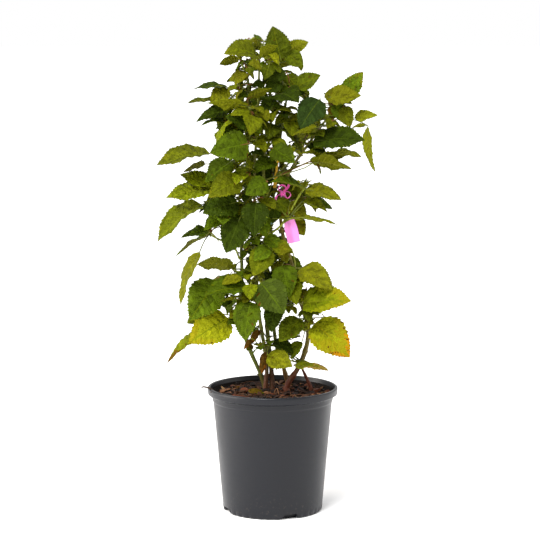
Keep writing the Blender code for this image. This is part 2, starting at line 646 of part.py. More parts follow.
def grow_shoot(shoot, shape, crowd):
    """(stem, leaves) of a shoot. A leaf with no room is moved more in depth than to the side or up."""
    mean = np.array(shoot.leaves[0][0])
    if shoot.height:
        mean = np.mean([leaf[0] for leaf in shoot.leaves], axis=0)
    nearest = min(np.linalg.norm(leaf[0]) for leaf in shoot.leaves) * MM
    bearing = math.degrees(math.atan2(mean[1], mean[0]))
    rise = math.degrees(math.asin(mean[2] / np.linalg.norm(mean)))
    rise = max(-35.0, min(60.0, rise))
    length = max(0.35 * nearest, 0.004)
    stem = stem_of(crowd, shoot.name, shoot.limb, shape, shoot.height, bearing, rise, length)
    origin = stem[0]
    stem_way = unit(stem[-1] - stem[0])
    leaves = []
    for k, (offset, *rows) in enumerate(shoot.leaves):
        root = stem[-1] - stem_way * 0.001 if k == 0 else stem[0] + (stem[-1] - stem[0]) * (0.9 - 0.25 * k)

        def tries():
            for attempt in range(TRIES):
                rng = random.Random(f"{SEED}/{shoot.name}/{k}/{attempt}")
                loose = attempt / TRIES
                depth = rng.uniform(-28, 28) * loose
                nudge = np.array([rng.uniform(-5, 5), 0.0, rng.uniform(-5, 5)]) * loose
                moved = [(length * (1 - 0.25 * loose * rng.random()),
                          bearing + rng.uniform(-30, 30) * loose,
                          droop + rng.uniform(-12, 12) * loose,
                          turn + rng.uniform(-25, 25) * loose)
                         for length, bearing, droop, turn in rows]
                hub = origin + (np.array(offset) + nudge + np.array([0.0, depth, 0.0])) * MM
                yield placed_leaf(root, stem_way, hub, moved, shoot.arch, rng)

        leaf = best_of(tries(), len(rows), crowd, shoot.name)
        if leaf:
            settle(crowd, shoot.name, leaf)
            leaves.append(leaf)
    return stem, leaves


def grow_plant(shapes, crowd):
    """{shoot name: (stem, leaves)}: limbs take their places, then placed leaves, then the rule's."""
    for name, (path, radii) in shapes.items():
        crowd.add(name, *tube(path, radii + 0.0004, LIMB_SIDES))
    grown = {}
    for shoot in SHOOTS:
        grown[shoot.name] = grow_shoot(shoot, shapes[shoot.limb], crowd)
    for rear in REARS:
        stem = stem_of(crowd, rear.name, rear.limb, shapes[rear.limb], rear.height, rear.bearing,
                       rear.rise, rear.stem * MM)
        leaves = []
        more_leaves(crowd, rear.name, stem, rear.bearing, rear.more, rear.blade, leaves)
        grown[rear.name] = (stem, leaves)
    for shoot in SHOOTS:
        stem, leaves = grown[shoot.name]
        longest = max(row[0] for leaf in shoot.leaves for row in leaf[1:])
        more_leaves(crowd, shoot.name, stem, 90, shoot.more, 0.85 * longest, leaves)
    return grown


# ---------------------------------------------------------------- Blender objects
def material(name, colour, roughness):
    made = bpy.data.materials.new(name)
    made.use_nodes = True
    shader = made.node_tree.nodes["Principled BSDF"]
    shader.inputs["Base Color"].default_value = (*colour, 1.0)
    shader.inputs["Roughness"].default_value = roughness
    shader.inputs["Metallic"].default_value = 0.0
    return made


def collection(name):
    made = bpy.data.collections.new(name)
    bpy.context.scene.collection.children.link(made)
    return made


def mesh_object(name, vertices, faces, where, finish=None):
    mesh = bpy.data.meshes.new(name)
    mesh.from_pydata(np.asarray(vertices).tolist(), [], faces)
    mesh.update()
    made = bpy.data.objects.new(name, mesh)
    where.objects.link(made)
    if finish:
        mesh.materials.append(finish)
    return made


def evaluated_mesh(obj):
    """A new mesh of the object with its modifiers, or its curve, worked out."""
    graph = bpy.context.evaluated_depsgraph_get()
    return bpy.data.meshes.new_from_object(obj.evaluated_get(graph), depsgraph=graph)


def weld(mesh):
    """Merges the vertices of a mesh that lie on one another."""
    shape = bmesh.new()
    shape.from_mesh(mesh)
    bmesh.ops.remove_doubles(shape, verts=shape.verts, dist=0.000005)
    shape.to_mesh(mesh)
    shape.free()


def turned_object(name, profile, where, finish):
    """A profile of (radius, height) points, down its outer side, turned about Z."""
    edges = [(i, i + 1) for i in range(len(profile) - 1)]
    mesh = bpy.data.meshes.new(name)
    mesh.from_pydata([(r, 0.0, z) for r, z in profile], edges, [])
    made = bpy.data.objects.new(name, mesh)
    where.objects.link(made)
    mesh.materials.append(finish)
    screw = made.modifiers.new("turn", "SCREW")
    screw.steps = screw.render_steps = TURNED_STEPS
    screw.use_merge_vertices = True
    screw.merge_threshold = 0.00005
    screw.use_smooth_shade = True
    return made


def limb_object(name, path, radii, where, finish):
    """A limb as a bevelled curve with a flat cap at each end."""
    curve = bpy.data.curves.new(name, "CURVE")
    curve.dimensions = "3D"
    curve.bevel_depth = 1.0
    curve.bevel_resolution = LIMB_BEVEL_RESOLUTION
    curve.use_fill_caps = True
    spline = curve.splines.new("POLY")
    spline.points.add(len(path) - 1)
    for point, place, radius in zip(spline.points, path, radii):
        point.co = (*place, 1.0)
        point.radius = radius
    made = bpy.data.objects.new(name, curve)
    where.objects.link(made)
    curve.materials.append(finish)
    return made


def islands(shape):
    """The faces of a bmesh in lists, one list for each surface that hangs together."""
    unseen = set(shape.faces)
    found = []
    while unseen:
        stack = [unseen.pop()]
        island = []
        while stack:
            face = stack.pop()
            island.append(face)
            for edge in face.edges:
                for near in edge.link_faces:
                    if near in unseen:
                        unseen.remove(near)
                        stack.append(near)
        found.append(island)
    return found


def enclosed(island):
    """The volume inside a closed surface of triangles: negative for the wall of a hollow."""
    return sum(f.verts[0].co.dot(f.verts[1].co.cross(f.verts[2].co)) for f in island) / 6.0


def keep_main_shell(mesh):
    """Leaves the largest solid of a mesh: sealed hollows are filled, and loose scraps are dropped."""
    shape = bmesh.new()
    shape.from_mesh(mesh)
    bmesh.ops.triangulate(shape, faces=shape.faces)
    surfaces = sorted(islands(shape), key=enclosed, reverse=True)
    for island in surfaces[1:]:
        bmesh.ops.delete(shape, geom=island, context="FACES")
    bmesh.ops.dissolve_limit(shape, angle_limit=math.radians(0.5), verts=shape.verts, edges=shape.edges)
    bmesh.ops.triangulate(shape, faces=shape.faces)
    shape.to_mesh(mesh)
    shape.free()


def joined(first, others, where):
    """first with a Boolean union of the collection others applied, whose objects are then removed."""
    union = first.modifiers.new("join", "BOOLEAN")
    union.operation = "UNION"
    union.solver = "MANIFOLD"
    union.operand_type = "COLLECTION"
    union.collection = others
    fused = evaluated_mesh(first)
    keep_main_shell(fused)
    name, finish = first.name, first.data.materials[0]
    for obj in [*others.objects, first]:
        bpy.data.objects.remove(obj)
    bpy.data.collections.remove(others)
    made = bpy.data.objects.new(name, fused)
    fused.name = name
    if not fused.materials:
        fused.materials.append(finish)
    where.objects.link(made)
    return made


# ---------------------------------------------------------------- the pot and what fills it
def pot_outside():
    """(radius, height) down the pot's outer side, from the top of the rim to the underside's edge."""
    return [
        (RIM_RADIUS - 0.0022, POT_HEIGHT),
        (RIM_RADIUS - 0.0004, POT_HEIGHT - 0.0012),
        (RIM_RADIUS, POT_HEIGHT - 0.0035),
        (RIM_RADIUS - 0.0004, POT_HEIGHT - 0.0110),
        (RIM_RADIUS - 0.0022, POT_HEIGHT - 0.0128),
        (BAND_RADIUS, POT_HEIGHT - 0.0165),
        (BAND_RADIUS - 0.0010, POT_HEIGHT - 0.0240),
        (SHOULDER_RADIUS, POT_HEIGHT - 0.0260),
        (BASE_RADIUS, 0.0030),
        (BASE_RADIUS - 0.0025, 0.0),
    ]


def inner_radius(z):
    """The radius of the pot's inner wall at height z below the band."""
    share = (z - 0.003) / (POT_HEIGHT - 0.0260 - 0.003)
    return BASE_RADIUS + (SHOULDER_RADIUS - BASE_RADIUS) * share - POT_WALL


def pot_inside():
    """(radius, height) from the middle of the floor up the inner wall to the rim."""
    return [
        (0.0, POT_FLOOR),
        (inner_radius(POT_FLOOR), POT_FLOOR),
        (inner_radius(POT_HEIGHT - 0.0260), POT_HEIGHT - 0.0260),
        (BAND_RADIUS - 0.0030, POT_HEIGHT - 0.0160),
        (RIM_RADIUS - 0.0062, POT_HEIGHT - 0.0090),
        (RIM_RADIUS - 0.0050, POT_HEIGHT - 0.0010),
        (RIM_RADIUS - 0.0040, POT_HEIGHT),
    ]


def drain_cutter(bearing, where):
    """A wedge that notches the foot of the wall and the edge of the floor, with sloping sides."""
    mesh = bpy.data.meshes.new("drain_cutter")
    shape = bmesh.new()
    bmesh.ops.create_cube(shape, size=1.0)
    for vertex in shape.verts:
        top = vertex.co.z > 0
        vertex.co.x = BASE_RADIUS + (0.010 if vertex.co.x > 0 else -DRAIN_DEPTH)
        vertex.co.y *= DRAIN_WIDTH * (0.62 if top else 1.0)
        vertex.co.z = DRAIN_HEIGHT if top else -0.005
    shape.to_mesh(mesh)
    shape.free()
    made = bpy.data.objects.new("drain_cutter", mesh)
    made.rotation_euler.z = math.radians(bearing)
    made.hide_render = True
    made.display_type = "WIRE"
    where.objects.link(made)


def build_pot(parts, cutters, finish):
    """The pot as one turned wall and floor, with drain notches cut through its foot."""
    pot = turned_object("pot", [*pot_inside(), *pot_outside(), (0.0, 0.0)], parts, finish)
    for k in range(DRAIN_SLOTS):
        drain_cutter(DRAIN_FIRST_BEARING + 360.0 * k / DRAIN_SLOTS, cutters)
    cut = pot.modifiers.new("drains", "BOOLEAN")
    cut.operation = "DIFFERENCE"
    cut.operand_type = "COLLECTION"
    cut.collection = cutters
    return pot


def build_soil(parts, finish):
    """The root ball and bark: a plug 0.3 mm clear of the pot, with a flat top for the canes."""
    clear = SEAT_GAP + 0.0002
    floor = POT_FLOOR + SEAT_GAP
    notch = BASE_RADIUS - DRAIN_DEPTH - clear
    above = DRAIN_HEIGHT + clear
    band = POT_HEIGHT - 0.0260
    return turned_object("soil", [
        (0.0, SOIL_LEVEL),
        (BAND_RADIUS - 0.0062, SOIL_LEVEL),
        (BAND_RADIUS - 0.0040, SOIL_LEVEL - 0.0060),
        (inner_radius(band) - clear, band),
        (inner_radius(above) - clear, above),
        (notch, above),
        (notch, floor),
        (0.0, floor),
    ], parts, finish)


# ---------------------------------------------------------------- tie and marker tapes
def hull(points):
    """The points of a plane that form its convex hull, in order round it."""
    def half(ordered):
        kept = []
        for p in ordered:
            while len(kept) > 1 and np.cross(kept[-1] - kept[-2], p - kept[-2]) <= 1e-12:
                kept.pop()
            kept.append(p)
        return kept[:-1]

    ordered = sorted(points, key=tuple)
    return half(ordered) + half(ordered[::-1])


def loop_round(circles, extra, sides):
    """The outline of a loop pulled tight round circles of (x, y, radius), which it clears by extra."""
    angles = (np.arange(sides) + 0.5) * 2 * math.pi / sides
    points = []
    for x, y, radius in circles:
        grown = (radius + extra) / math.cos(math.pi / sides)
        points += [np.array([x + grown * math.cos(a), y + grown * math.sin(a)]) for a in angles]
    return hull(points)


def band_object(name, circles, clear, wall, tall, sides, where, finish):
    """A closed band of tape round circles in its own XY plane, extruded to the tape's width."""
    curve = bpy.data.curves.new(name, "CURVE")
    curve.dimensions = "2D"
    curve.fill_mode = "BOTH"
    curve.extrude = 0.5 * tall
    for extra in (clear + wall, clear):
        outline = loop_round(circles, extra, sides)
        spline = curve.splines.new("POLY")
        spline.points.add(len(outline) - 1)
        spline.use_cyclic_u = True
        for point, place in zip(spline.points, outline):
            point.co = (*place, 0.0, 1.0)
    made = bpy.data.objects.new(name, curve)
    where.objects.link(made)
    curve.materials.append(finish)
    return made


def build_tie(shapes, parts, finish):
    """A flat tie pulled round the bundle of canes."""
    circles = []
    for name in TIED_CANES:
        centre, tangent, radius = place_on(shapes[name], TIE_HEIGHT)
        circles.append((centre[0], centre[1], radius / tangent[2]))
    tie = band_object("tie_green", circles, TIE_GAP, TIE_WALL, TIE_TALL, 8, parts, finish)
    tie.location.z = TIE_HEIGHT * MM
    return tie


Tape = namedtuple("Tape", "name cane height clear wall band tail_width tail_length lean forward")
TAPES = (
    Tape("tape_pink", "cane_right", 560, 0.0009, 0.0012, 0.010, 0.024, 0.088, 12.0, 3.0),
    Tape("tape_yellow", "cane_back", 616, 0.0004, 0.0010, 0.006, 0.007, 0.050, -6.0, 5.0),
)


def tail_object(tape, centre, out, where):
    """The tape's hanging tail: a flat strip that starts inside the front of the band."""
    mesh = bpy.data.meshes.new(tape.name + "_tail")
    shape = bmesh.new()
    bmesh.ops.create_cube(shape, size=1.0)
    for vertex in shape.verts:
        vertex.co.x *= tape.tail_width * (1.0 if vertex.co.z < 0 else 0.40)
        vertex.co.y *= tape.wall
        vertex.co.z = (vertex.co.z - 0.5) * tape.tail_length
    shape.to_mesh(mesh)
    shape.free()
    made = bpy.data.objects.new(tape.name + "_tail", mesh)
    made.location = (centre[0], centre[1] - out, centre[2] + 0.3 * tape.band)
    made.rotation_euler = (math.radians(-tape.forward), math.radians(-tape.lean), 0.0)
    where.objects.link(made)


def build_tape(tape, shapes, parts, finish):
    """A band square to one cane, with a hanging tail, joined into one solid."""
    centre, tangent, radius = place_on(shapes[tape.cane], tape.height)
    circle = [(0.0, 0.0, radius)]
    band = band_object(tape.name + "_band", circle, tape.clear, tape.wall, tape.band, 10, parts, finish)
    mesh = evaluated_mesh(band)
    bpy.data.objects.remove(band)
    turn = Vector((0.0, 0.0, 1.0)).rotation_difference(Vector(tangent)).to_matrix().to_4x4()
    mesh.transform(Matrix.Translation(centre) @ turn)
    weld(mesh)
    first = bpy.data.objects.new(tape.name, mesh)
    parts.objects.link(first)
    others = collection(tape.name + "_joins")
    tail_object(tape, centre, radius + tape.clear + 0.6 * tape.wall, others)
    bpy.context.view_layer.update()
    return joined(first, others, parts)


# ---------------------------------------------------------------- foliage
def foliage_object(name, stem, leaves, parts, finish):
    """One mass of foliage: its stem with every stalk and blade fused on."""
    radii = np.linspace(STEM_RADIUS, 0.95 * STEM_RADIUS, len(stem))
    first = mesh_object(name, *tube(stem, radii, TWIG_SIDES), parts, finish)
    others = collection(name + "_joins")
    for leaf in leaves:
        for vertices, faces in leaflets(leaf):
            mesh_object("leaflet", vertices, faces, others)
    return joined(first, others, parts)


def main():
    for obj in list(bpy.data.objects):
        bpy.data.objects.remove(obj)
    parts = collection("potted_bramble_bush")
    cutters = collection("cutters")

    plastic = material("pot_plastic", (0.045, 0.046, 0.050), 0.45)
    bark_soil = material("bark_soil", (0.035, 0.018, 0.012), 0.9)
    cane_skin = material("cane_skin", (0.11, 0.10, 0.03), 0.55)
    leaf_green = material("leaf_green", (0.09, 0.14, 0.025), 0.5)
    tie_tape = material("tie_tape", (0.0, 0.16, 0.12), 0.4)
    pink_tape = material("pink_tape", (0.9, 0.30, 0.70), 0.35)
    yellow_tape = material("yellow_tape", (0.80, 0.50, 0.02), 0.35)

    shapes = limb_shapes()
    build_pot(parts, cutters, plastic)
    build_soil(parts, bark_soil)
    bands = [build_tie(shapes, parts, tie_tape), build_tape(TAPES[0], shapes, parts, pink_tape),
             build_tape(TAPES[1], shapes, parts, yellow_tape)]
    for name, (path, radii) in shapes.items():
        limb_object(name, path, radii, parts, cane_skin)

    crowd = Crowd()
    bpy.context.view_layer.update()
    for band in bands:
        mesh = evaluated_mesh(band)
        mesh.transform(band.matrix_world)
        vertices = np.array([v.co for v in mesh.vertices])
        crowd.add(band.name, vertices, [tuple(p.vertices) for p in mesh.polygons])
        bpy.data.meshes.remove(mesh)
    for name, (stem, leaves) in grow_plant(shapes, crowd).items():
        if leaves:
            foliage_object("leaves_" + name, stem, leaves, parts, leaf_green)


main()
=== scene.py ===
"""A potted bramble bush as it looks: toothed, veined leaves on canes with bark, in a moulded pot.

The leaves grow by the same rule, seeds and sizes as the solids, so each one lies where its solid is.
Units are metres, +Z is up, and the origin is the middle of the pot's flat underside. The front is at -Y.
A bearing is in degrees about +Z: 0 is right (+X), 90 is back (+Y), 180 is left and 270 is front.
"""

import json
import math
import random
from collections import namedtuple

import bpy
import numpy as np
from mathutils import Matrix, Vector
from mathutils.bvhtree import BVHTree

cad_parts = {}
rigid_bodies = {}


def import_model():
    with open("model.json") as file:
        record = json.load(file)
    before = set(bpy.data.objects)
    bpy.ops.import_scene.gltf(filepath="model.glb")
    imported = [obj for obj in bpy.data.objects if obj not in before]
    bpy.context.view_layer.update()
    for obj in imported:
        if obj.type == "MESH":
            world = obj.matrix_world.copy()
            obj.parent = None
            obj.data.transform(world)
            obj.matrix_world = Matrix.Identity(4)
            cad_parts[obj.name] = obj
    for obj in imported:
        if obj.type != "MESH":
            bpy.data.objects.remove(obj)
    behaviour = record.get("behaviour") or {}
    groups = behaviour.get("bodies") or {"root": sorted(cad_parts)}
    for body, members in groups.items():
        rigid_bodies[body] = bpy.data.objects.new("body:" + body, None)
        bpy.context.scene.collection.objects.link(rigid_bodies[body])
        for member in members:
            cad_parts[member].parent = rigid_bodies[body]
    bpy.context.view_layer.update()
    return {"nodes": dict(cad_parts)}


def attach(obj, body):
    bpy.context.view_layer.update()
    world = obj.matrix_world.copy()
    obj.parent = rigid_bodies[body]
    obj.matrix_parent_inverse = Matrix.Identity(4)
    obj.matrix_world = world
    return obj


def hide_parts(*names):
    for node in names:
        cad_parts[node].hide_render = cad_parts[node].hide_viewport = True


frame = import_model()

# ---------------------------------------------------------------- sizes shared with the solids
POT_HEIGHT = 0.219
RIM_RADIUS = 0.1145
BAND_RADIUS = 0.1065
SHOULDER_RADIUS = 0.1043
BASE_RADIUS = 0.0883
POT_WALL = 0.0020
POT_FLOOR = 0.0030
SOIL_LEVEL = 0.2090

DRAIN_SLOTS = 4
DRAIN_FIRST_BEARING = 291.0
DRAIN_WIDTH = 0.036
DRAIN_HEIGHT = 0.0085
DRAIN_DEPTH = 0.0120

SEAT_GAP = 0.0003
LIMB_EXTRA_STEPS = 2
FLARE_RUN = 0.012
LIMB_SIDES = 8
STEM_RADIUS = 0.0018
STALK_RADIUS = 0.00085
STALK_TIP_RADIUS = 0.00080
TWIG_SIDES = 3
BLADE_THICKNESS = 0.0012
LEAF_CLEARANCE = 0.0011

TIE_HEIGHT = 505
TIE_TALL = 0.009
TIE_WALL = 0.0010
TIE_GAP = 0.0006
TIED_CANES = ("cane_left", "cane_front", "cane_middle", "cane_back")

# ---------------------------------------------------------------- the plan of the plant
# A cane stands on the bark with a flat foot. A bough starts beside its parent, at its first point's height.
Limb = namedtuple("Limb", "name parent foot_radius tip_radius flare points")
LIMBS = (
    Limb("cane_left", None, 0.0036, 0.0017, 1.3, (
        (-0.015, 0.014, 0.2093), (-0.015, 0.014, 0.222), (-0.028, 0.011, 0.255),
        (-0.047, 0.006, 0.301), (-0.057, 0.003, 0.351), (-0.054, 0.002, 0.411),
        (-0.055, 0.002, 0.466), (-0.052, 0.002, 0.522), (-0.045, 0.002, 0.592),
        (-0.044, 0.003, 0.670), (-0.041, 0.002, 0.739), (-0.048, 0.000, 0.770),
        (-0.055, -0.003, 0.788))),
    Limb("cane_front", None, 0.0034, 0.0017, 1.3, (
        (-0.013, -0.002, 0.2093), (-0.013, -0.002, 0.222), (-0.010, -0.004, 0.262),
        (-0.015, -0.009, 0.293), (-0.021, -0.011, 0.330), (-0.026, -0.012, 0.372),
        (-0.029, -0.012, 0.425), (-0.030, -0.010, 0.475), (-0.031, -0.009, 0.539),
        (-0.032, -0.008, 0.583), (-0.029, -0.009, 0.652), (-0.025, -0.010, 0.722),
        (-0.023, -0.010, 0.790))),
    Limb("cane_middle", None, 0.0040, 0.0018, 1.4, (
        (-0.001, 0.002, 0.2093), (-0.001, 0.002, 0.222), (-0.003, 0.002, 0.255),
        (-0.008, 0.002, 0.300), (-0.011, 0.002, 0.345), (-0.013, 0.003, 0.390),
        (-0.012, 0.003, 0.434), (-0.012, 0.000, 0.487), (-0.014, 0.001, 0.539),
        (-0.016, 0.002, 0.583), (-0.014, 0.003, 0.635), (-0.008, 0.006, 0.704),
        (-0.001, 0.008, 0.756), (0.006, 0.010, 0.780))),
    Limb("cane_right", None, 0.0044, 0.0018, 1.6, (
        (0.024, -0.006, 0.2093), (0.024, -0.006, 0.220), (0.034, -0.006, 0.237),
        (0.047, -0.005, 0.257), (0.057, -0.004, 0.284), (0.062, -0.004, 0.309),
        (0.060, -0.004, 0.333), (0.051, -0.004, 0.364), (0.041, -0.004, 0.399),
        (0.034, -0.003, 0.434), (0.021, -0.001, 0.474), (0.014, 0.000, 0.510),
        (0.015, 0.000, 0.553), (0.027, -0.002, 0.594), (0.056, -0.004, 0.637),
        (0.089, -0.006, 0.684), (0.112, -0.008, 0.706))),
    Limb("cane_back", None, 0.0036, 0.0016, 1.3, (
        (0.027, 0.017, 0.2093), (0.027, 0.017, 0.220), (0.018, 0.014, 0.253),
        (0.009, 0.012, 0.280), (0.002, 0.013, 0.318), (-0.001, 0.014, 0.372),
        (0.000, 0.014, 0.425), (-0.003, 0.012, 0.478), (-0.002, 0.012, 0.522),
        (0.006, 0.014, 0.592), (0.014, 0.015, 0.661), (0.023, 0.013, 0.718),
        (0.032, 0.012, 0.745), (0.040, 0.012, 0.762))),
    Limb("old_stub", None, 0.0032, 0.0019, 1.2, (
        (0.067, 0.004, 0.2093), (0.067, 0.004, 0.216), (0.060, 0.004, 0.232),
        (0.051, 0.003, 0.252))),
    Limb("bough_left", "cane_left", 0.0019, 0.0013, 1.0, (
        (-0.054, 0.002, 0.446), (-0.064, -0.008, 0.462), (-0.076, -0.010, 0.472),
        (-0.092, -0.011, 0.480), (-0.108, -0.012, 0.488))),
    Limb("bough_left_low", "cane_front", 0.0017, 0.0012, 1.0, (
        (-0.027, -0.012, 0.394), (-0.040, -0.019, 0.408), (-0.052, -0.020, 0.417),
        (-0.066, -0.020, 0.426))),
    Limb("bough_right", "cane_middle", 0.0020, 0.0014, 1.0, (
        (-0.012, 0.000, 0.484), (-0.003, -0.012, 0.491), (0.015, -0.017, 0.506),
        (0.033, -0.020, 0.534), (0.044, -0.022, 0.555), (0.056, -0.024, 0.572))),
)

# A shoot is one mass of foliage: a stem that starts beside its limb at a height in mm (0 is the limb's
# tip), leaves that are placed one by one, and then more leaves that the rule sets where it finds room.
# A placed leaf is where its stalk ends, in mm to the right, back and up from the stem's start, and then
# its blades: each has a length in mm, a bearing, the droop of its tip below level, the turn of its upper
# side to the front, and its tint.
Shoot = namedtuple("Shoot", "name limb height arch more leaves")
SHOOTS = (
    # crown top
    Shoot("top_arching", "cane_front", 0, 75, 1, (
        ((-4, -4, 6), (58, 196, -4, 40, "mid_olive"),),
        ((2, -8, 2), (38, 338, -32, -20, "lime")))),
    Shoot("top_left", "cane_left", 0, 30, 1, (
        ((-1, 3, 3), (35, 183, 15, -35, "lime")),
        ((11, -15, -24), (35, 216, 38, 40, "olive")),
        ((37, -17, -11), (32, 207, -12, 40, "olive")))),
    Shoot("top_upright", "cane_middle", 0, 25, 2, (
        ((8, -6, 9), (58, 172, -76, 75, "deep_olive")),
        ((16, -2, 24), (42, 3, -26, -70, "lime"), (40, 345, 38, 60, "deep_olive")),
        ((6, -20, 5), (28, 220, -30, 60, "yellow_green")))),
    Shoot("top_right", "cane_back", 735, 25, 2, (
        ((14, -18, 9), (44, 354, -26, 60, "deep_olive")),
        ((-4, -20, 34), (34, 190, 20, 55, "dark")),
        ((-13, -26, 20), (38, 196, 28, 55, "dark")))),
    # upper left
    Shoot("upper_left_high", "cane_left", 735, 20, 1, (
        ((-31, -2, 9), (60, 186, 3, 12, "dark"), (43, 216, 38, 45, "olive_light")),)),
    Shoot("upper_left_wing", "cane_left", 712, 15, 1, (
        ((-42, -10, 12), (66, 184, -2, 6, "mid")),
        ((-42, 4, 13), (40, 197, 12, 25, "dark")))),
    Shoot("upper_left_lime", "cane_front", 690, 20, 2, (
        ((-12, -20, 23), (80, 193, -4, -16, "lime")),
        ((-15, -26, 35), (46, 344, -22, -22, "lime")))),
    Shoot("upper_left_dark", "cane_left", 680, 25, 1, (
        ((-22, -5, 26), (66, 189, 19, 22, "dark")),
        ((-34, -9, 6), (43, 191, 11, 10, "mid")))),
    Shoot("upper_left_shield", "cane_left", 640, 30, 1, (
        ((4, -65, 11), (70, 201, 12, 70, "mid_deep")),
        ((-18, -37, 59), (60, 205, 53, -14, "lime")),
        ((6, -48, 39), (46, 200, -20, 50, "dark")))),
    Shoot("left_long", "cane_left", 600, 12, 1, (
        ((-58, -12, 30), (94, 190, 12, 12, "mid_olive")),
        ((-67, -4, 11), (42, 201, 18, -30, "pale")),
        ((-22, -28, 18), (58, 203, 35, 42, "mid_deep")))),
    Shoot("left_fan", "cane_left", 560, 25, 1, (
        ((-52, -16, 8), (82, 191, 10, 22, "fresh"), (60, 169, -22, 24, "fresh")),
        ((-70, -24, -17), (100, 196, 39, 14, "fresh")))),
    Shoot("left_front_yellow", "cane_front", 602, 30, 1, (
        ((-23, -46, -14), (64, 203, 26, 55, "mid_olive")),)),
    Shoot("left_front_dark", "cane_front", 545, 30, 1, (
        ((-25, -31, 4), (66, 200, 15, 52, "dark")),
        ((-22, -35, -22), (66, 223, 61, 55, "dark")),
        ((-49, -20, -24), (42, 200, 28, 40, "mid")))),
    # middle and low left
    Shoot("left_pale", "bough_left", 0, 20, 0, (
        ((-1, -6, 6), (48, 187, 12, 22, "mid"), (23, 325, 40, -30, "pale")),
        ((2, 14, 0), (72, 176, 33, -6, "pale")),
        ((-16, -34, -24), (97, 205, 68, -8, "olive_light")))),
    Shoot("left_level", "bough_left_low", 0, 25, 0, (
        ((0, -2, 6), (64, 193, -6, -34, "pale_olive")),)),
    Shoot("left_low_broad", "cane_left", 398, 30, 0, (
        ((-37, -12, 11), (84, 200, 54, 60, "mid")),)),
    Shoot("left_low_shelf", "cane_front", 405, 30, 0, (
        ((-11, -34, -5), (80, 199, 6, 22, "mid")),
        ((-24, -22, 16), (40, 195, 14, 30, "olive_light")),
        ((-24, -22, -21), (42, 203, 11, -20, "lime")))),
    Shoot("left_low_yellow", "cane_left", 345, 35, 0, (
        ((-20, -23, -3), (88, 200, 28, 60, "turning")),
        ((-49, -9, 7), (45, 191, 24, 40, "bronze")),
        ((-76, -17, -22), (76, 185, 50, -4, "curled")))),
    Shoot("foot_withered", "cane_front", 290, 60, 0, (
        ((-18, -21, 20), (22, 196, 50, 50, "withered")),
        ((-20, -16, 8), (24, 240, 30, 30, "bronze")))),
    # front
    Shoot("front_round", "cane_front", 585, 25, 1, (
        ((22, -52, 1), (46, 207, 25, 60, "mid_deep")),)),
    Shoot("front_dark", "cane_middle", 540, 30, 1, (
        ((-13, -63, 12), (62, 259, 65, 5, "dark")),)),
    Shoot("front_middle", "cane_middle", 470, 25, 1, (
        ((2, -41, 2), (56, 222, 58, 45, "fresh")),
        ((-3, -31, 17), (38, 338, 32, 40, "mid")),
        ((18, -47, -6), (30, 334, -10, 50, "olive")))),
    Shoot("front_low_dark", "cane_middle", 406, 30, 1, (
        ((1, -65, 7), (68, 333, 49, 50, "blue_dark")),
        ((17, -43, -38), (44, 240, 72, 10, "dark")))),
    Shoot("front_low_green", "cane_front", 375, 30, 1, (
        ((-16, -50, 5), (68, 245, 69, 5, "mid_deep")),)),
    Shoot("front_right_low", "cane_right", 446, 30, 1, (
        ((-12, -34, -6), (58, 299, 65, 30, "mid_deep")),)),
    Shoot("foot_yellow", "cane_middle", 292, 30, 0, (
        ((-1, -31, -2), (50, 334, 19, 50, "olive_light")),
        ((6, -19, 10), (41, 344, 28, 25, "dark")))),
    # right
    Shoot("right_tip", "cane_right", 0, 20, 0, (
        ((16, -2, 14), (55, 351, -62, 60, "brown_tip")),
        ((9, -14, 6), (38, 310, 60, 60, "mid_olive")),
        ((27, -6, -15), (40, 357, -6, 34, "lime_top")),
        ((-16, -18, 21), (54, 349, -2, 56, "olive")))),
    Shoot("right_hanging", "cane_right", 700, 35, 0, (
        ((56, -13, -19), (78, 350, 80, -16, "lime"), (24, 190, 10, -50, "lime")),)),
    Shoot("right_teal", "cane_right", 672, 30, 1, (
        ((0, -47, 54), (62, 214, 51, 40, "teal")),
        ((-3, -45, 6), (46, 191, 19, -30, "lime")))),
    Shoot("right_broad", "cane_right", 645, 25, 1, (
        ((6, -36, 8), (90, 346, -2, 34, "dark")),
        ((-2, -16, 0), (34, 341, 20, 30, "dark")))),
    Shoot("right_lime", "cane_middle", 583, 30, 0, (
        ((74, -22, 34), (73, 355, -14, -18, "lime"), (77, 350, 9, -34, "lime")),
        ((88, -30, 34), (22, 322, 72, -30, "bronze")))),
    Shoot("front_upper_right", "cane_middle", 640, 30, 1, (
        ((11, -51, 2), (50, 328, 28, 45, "mid_deep")),)),
    Shoot("right_tier", "bough_right", 0, 25, 1, (
        ((-2, -4, -4), (64, 350, 16, 24, "olive_light"), (60, 198, -12, 12, "mid")),
        ((22, -16, -12), (40, 343, 18, -30, "lime")))),
    Shoot("right_level", "bough_right", 515, 25, 0, (
        ((30, -21, 9), (60, 346, 11, -18, "lime")),
        ((28, -11, 35), (45, 352, 22, 22, "mid_olive")),
        ((4, -25, 3), (40, 326, 54, 50, "olive")))),
    Shoot("right_low_arch", "cane_right", 430, 40, 1, (
        ((9, -23, 1), (68, 339, 31, 34, "olive_light")),)),
    Shoot("right_low_green", "cane_right", 372, 25, 0, (
        ((2, -32, -1), (85, 345, -4, 44, "tip_turning")),)),
    Shoot("right_low_gold", "cane_right", 345, 25, 0, (
        ((12, -20, -9), (86, 337, 39, 56, "gold")),)),
    Shoot("foot_right", "cane_right", 264, 25, 0, (
        ((-11, -23, -3), (60, 352, 7, 12, "tan_tip")),)),
    Shoot("foot_olive", "cane_right", 320, 30, 0, (
        ((-10, -18, 24), (55, 206, 43, 45, "deep_olive")),
        ((-8, -14, -17), (35, 199, 58, 25, "deep_olive")))),
)

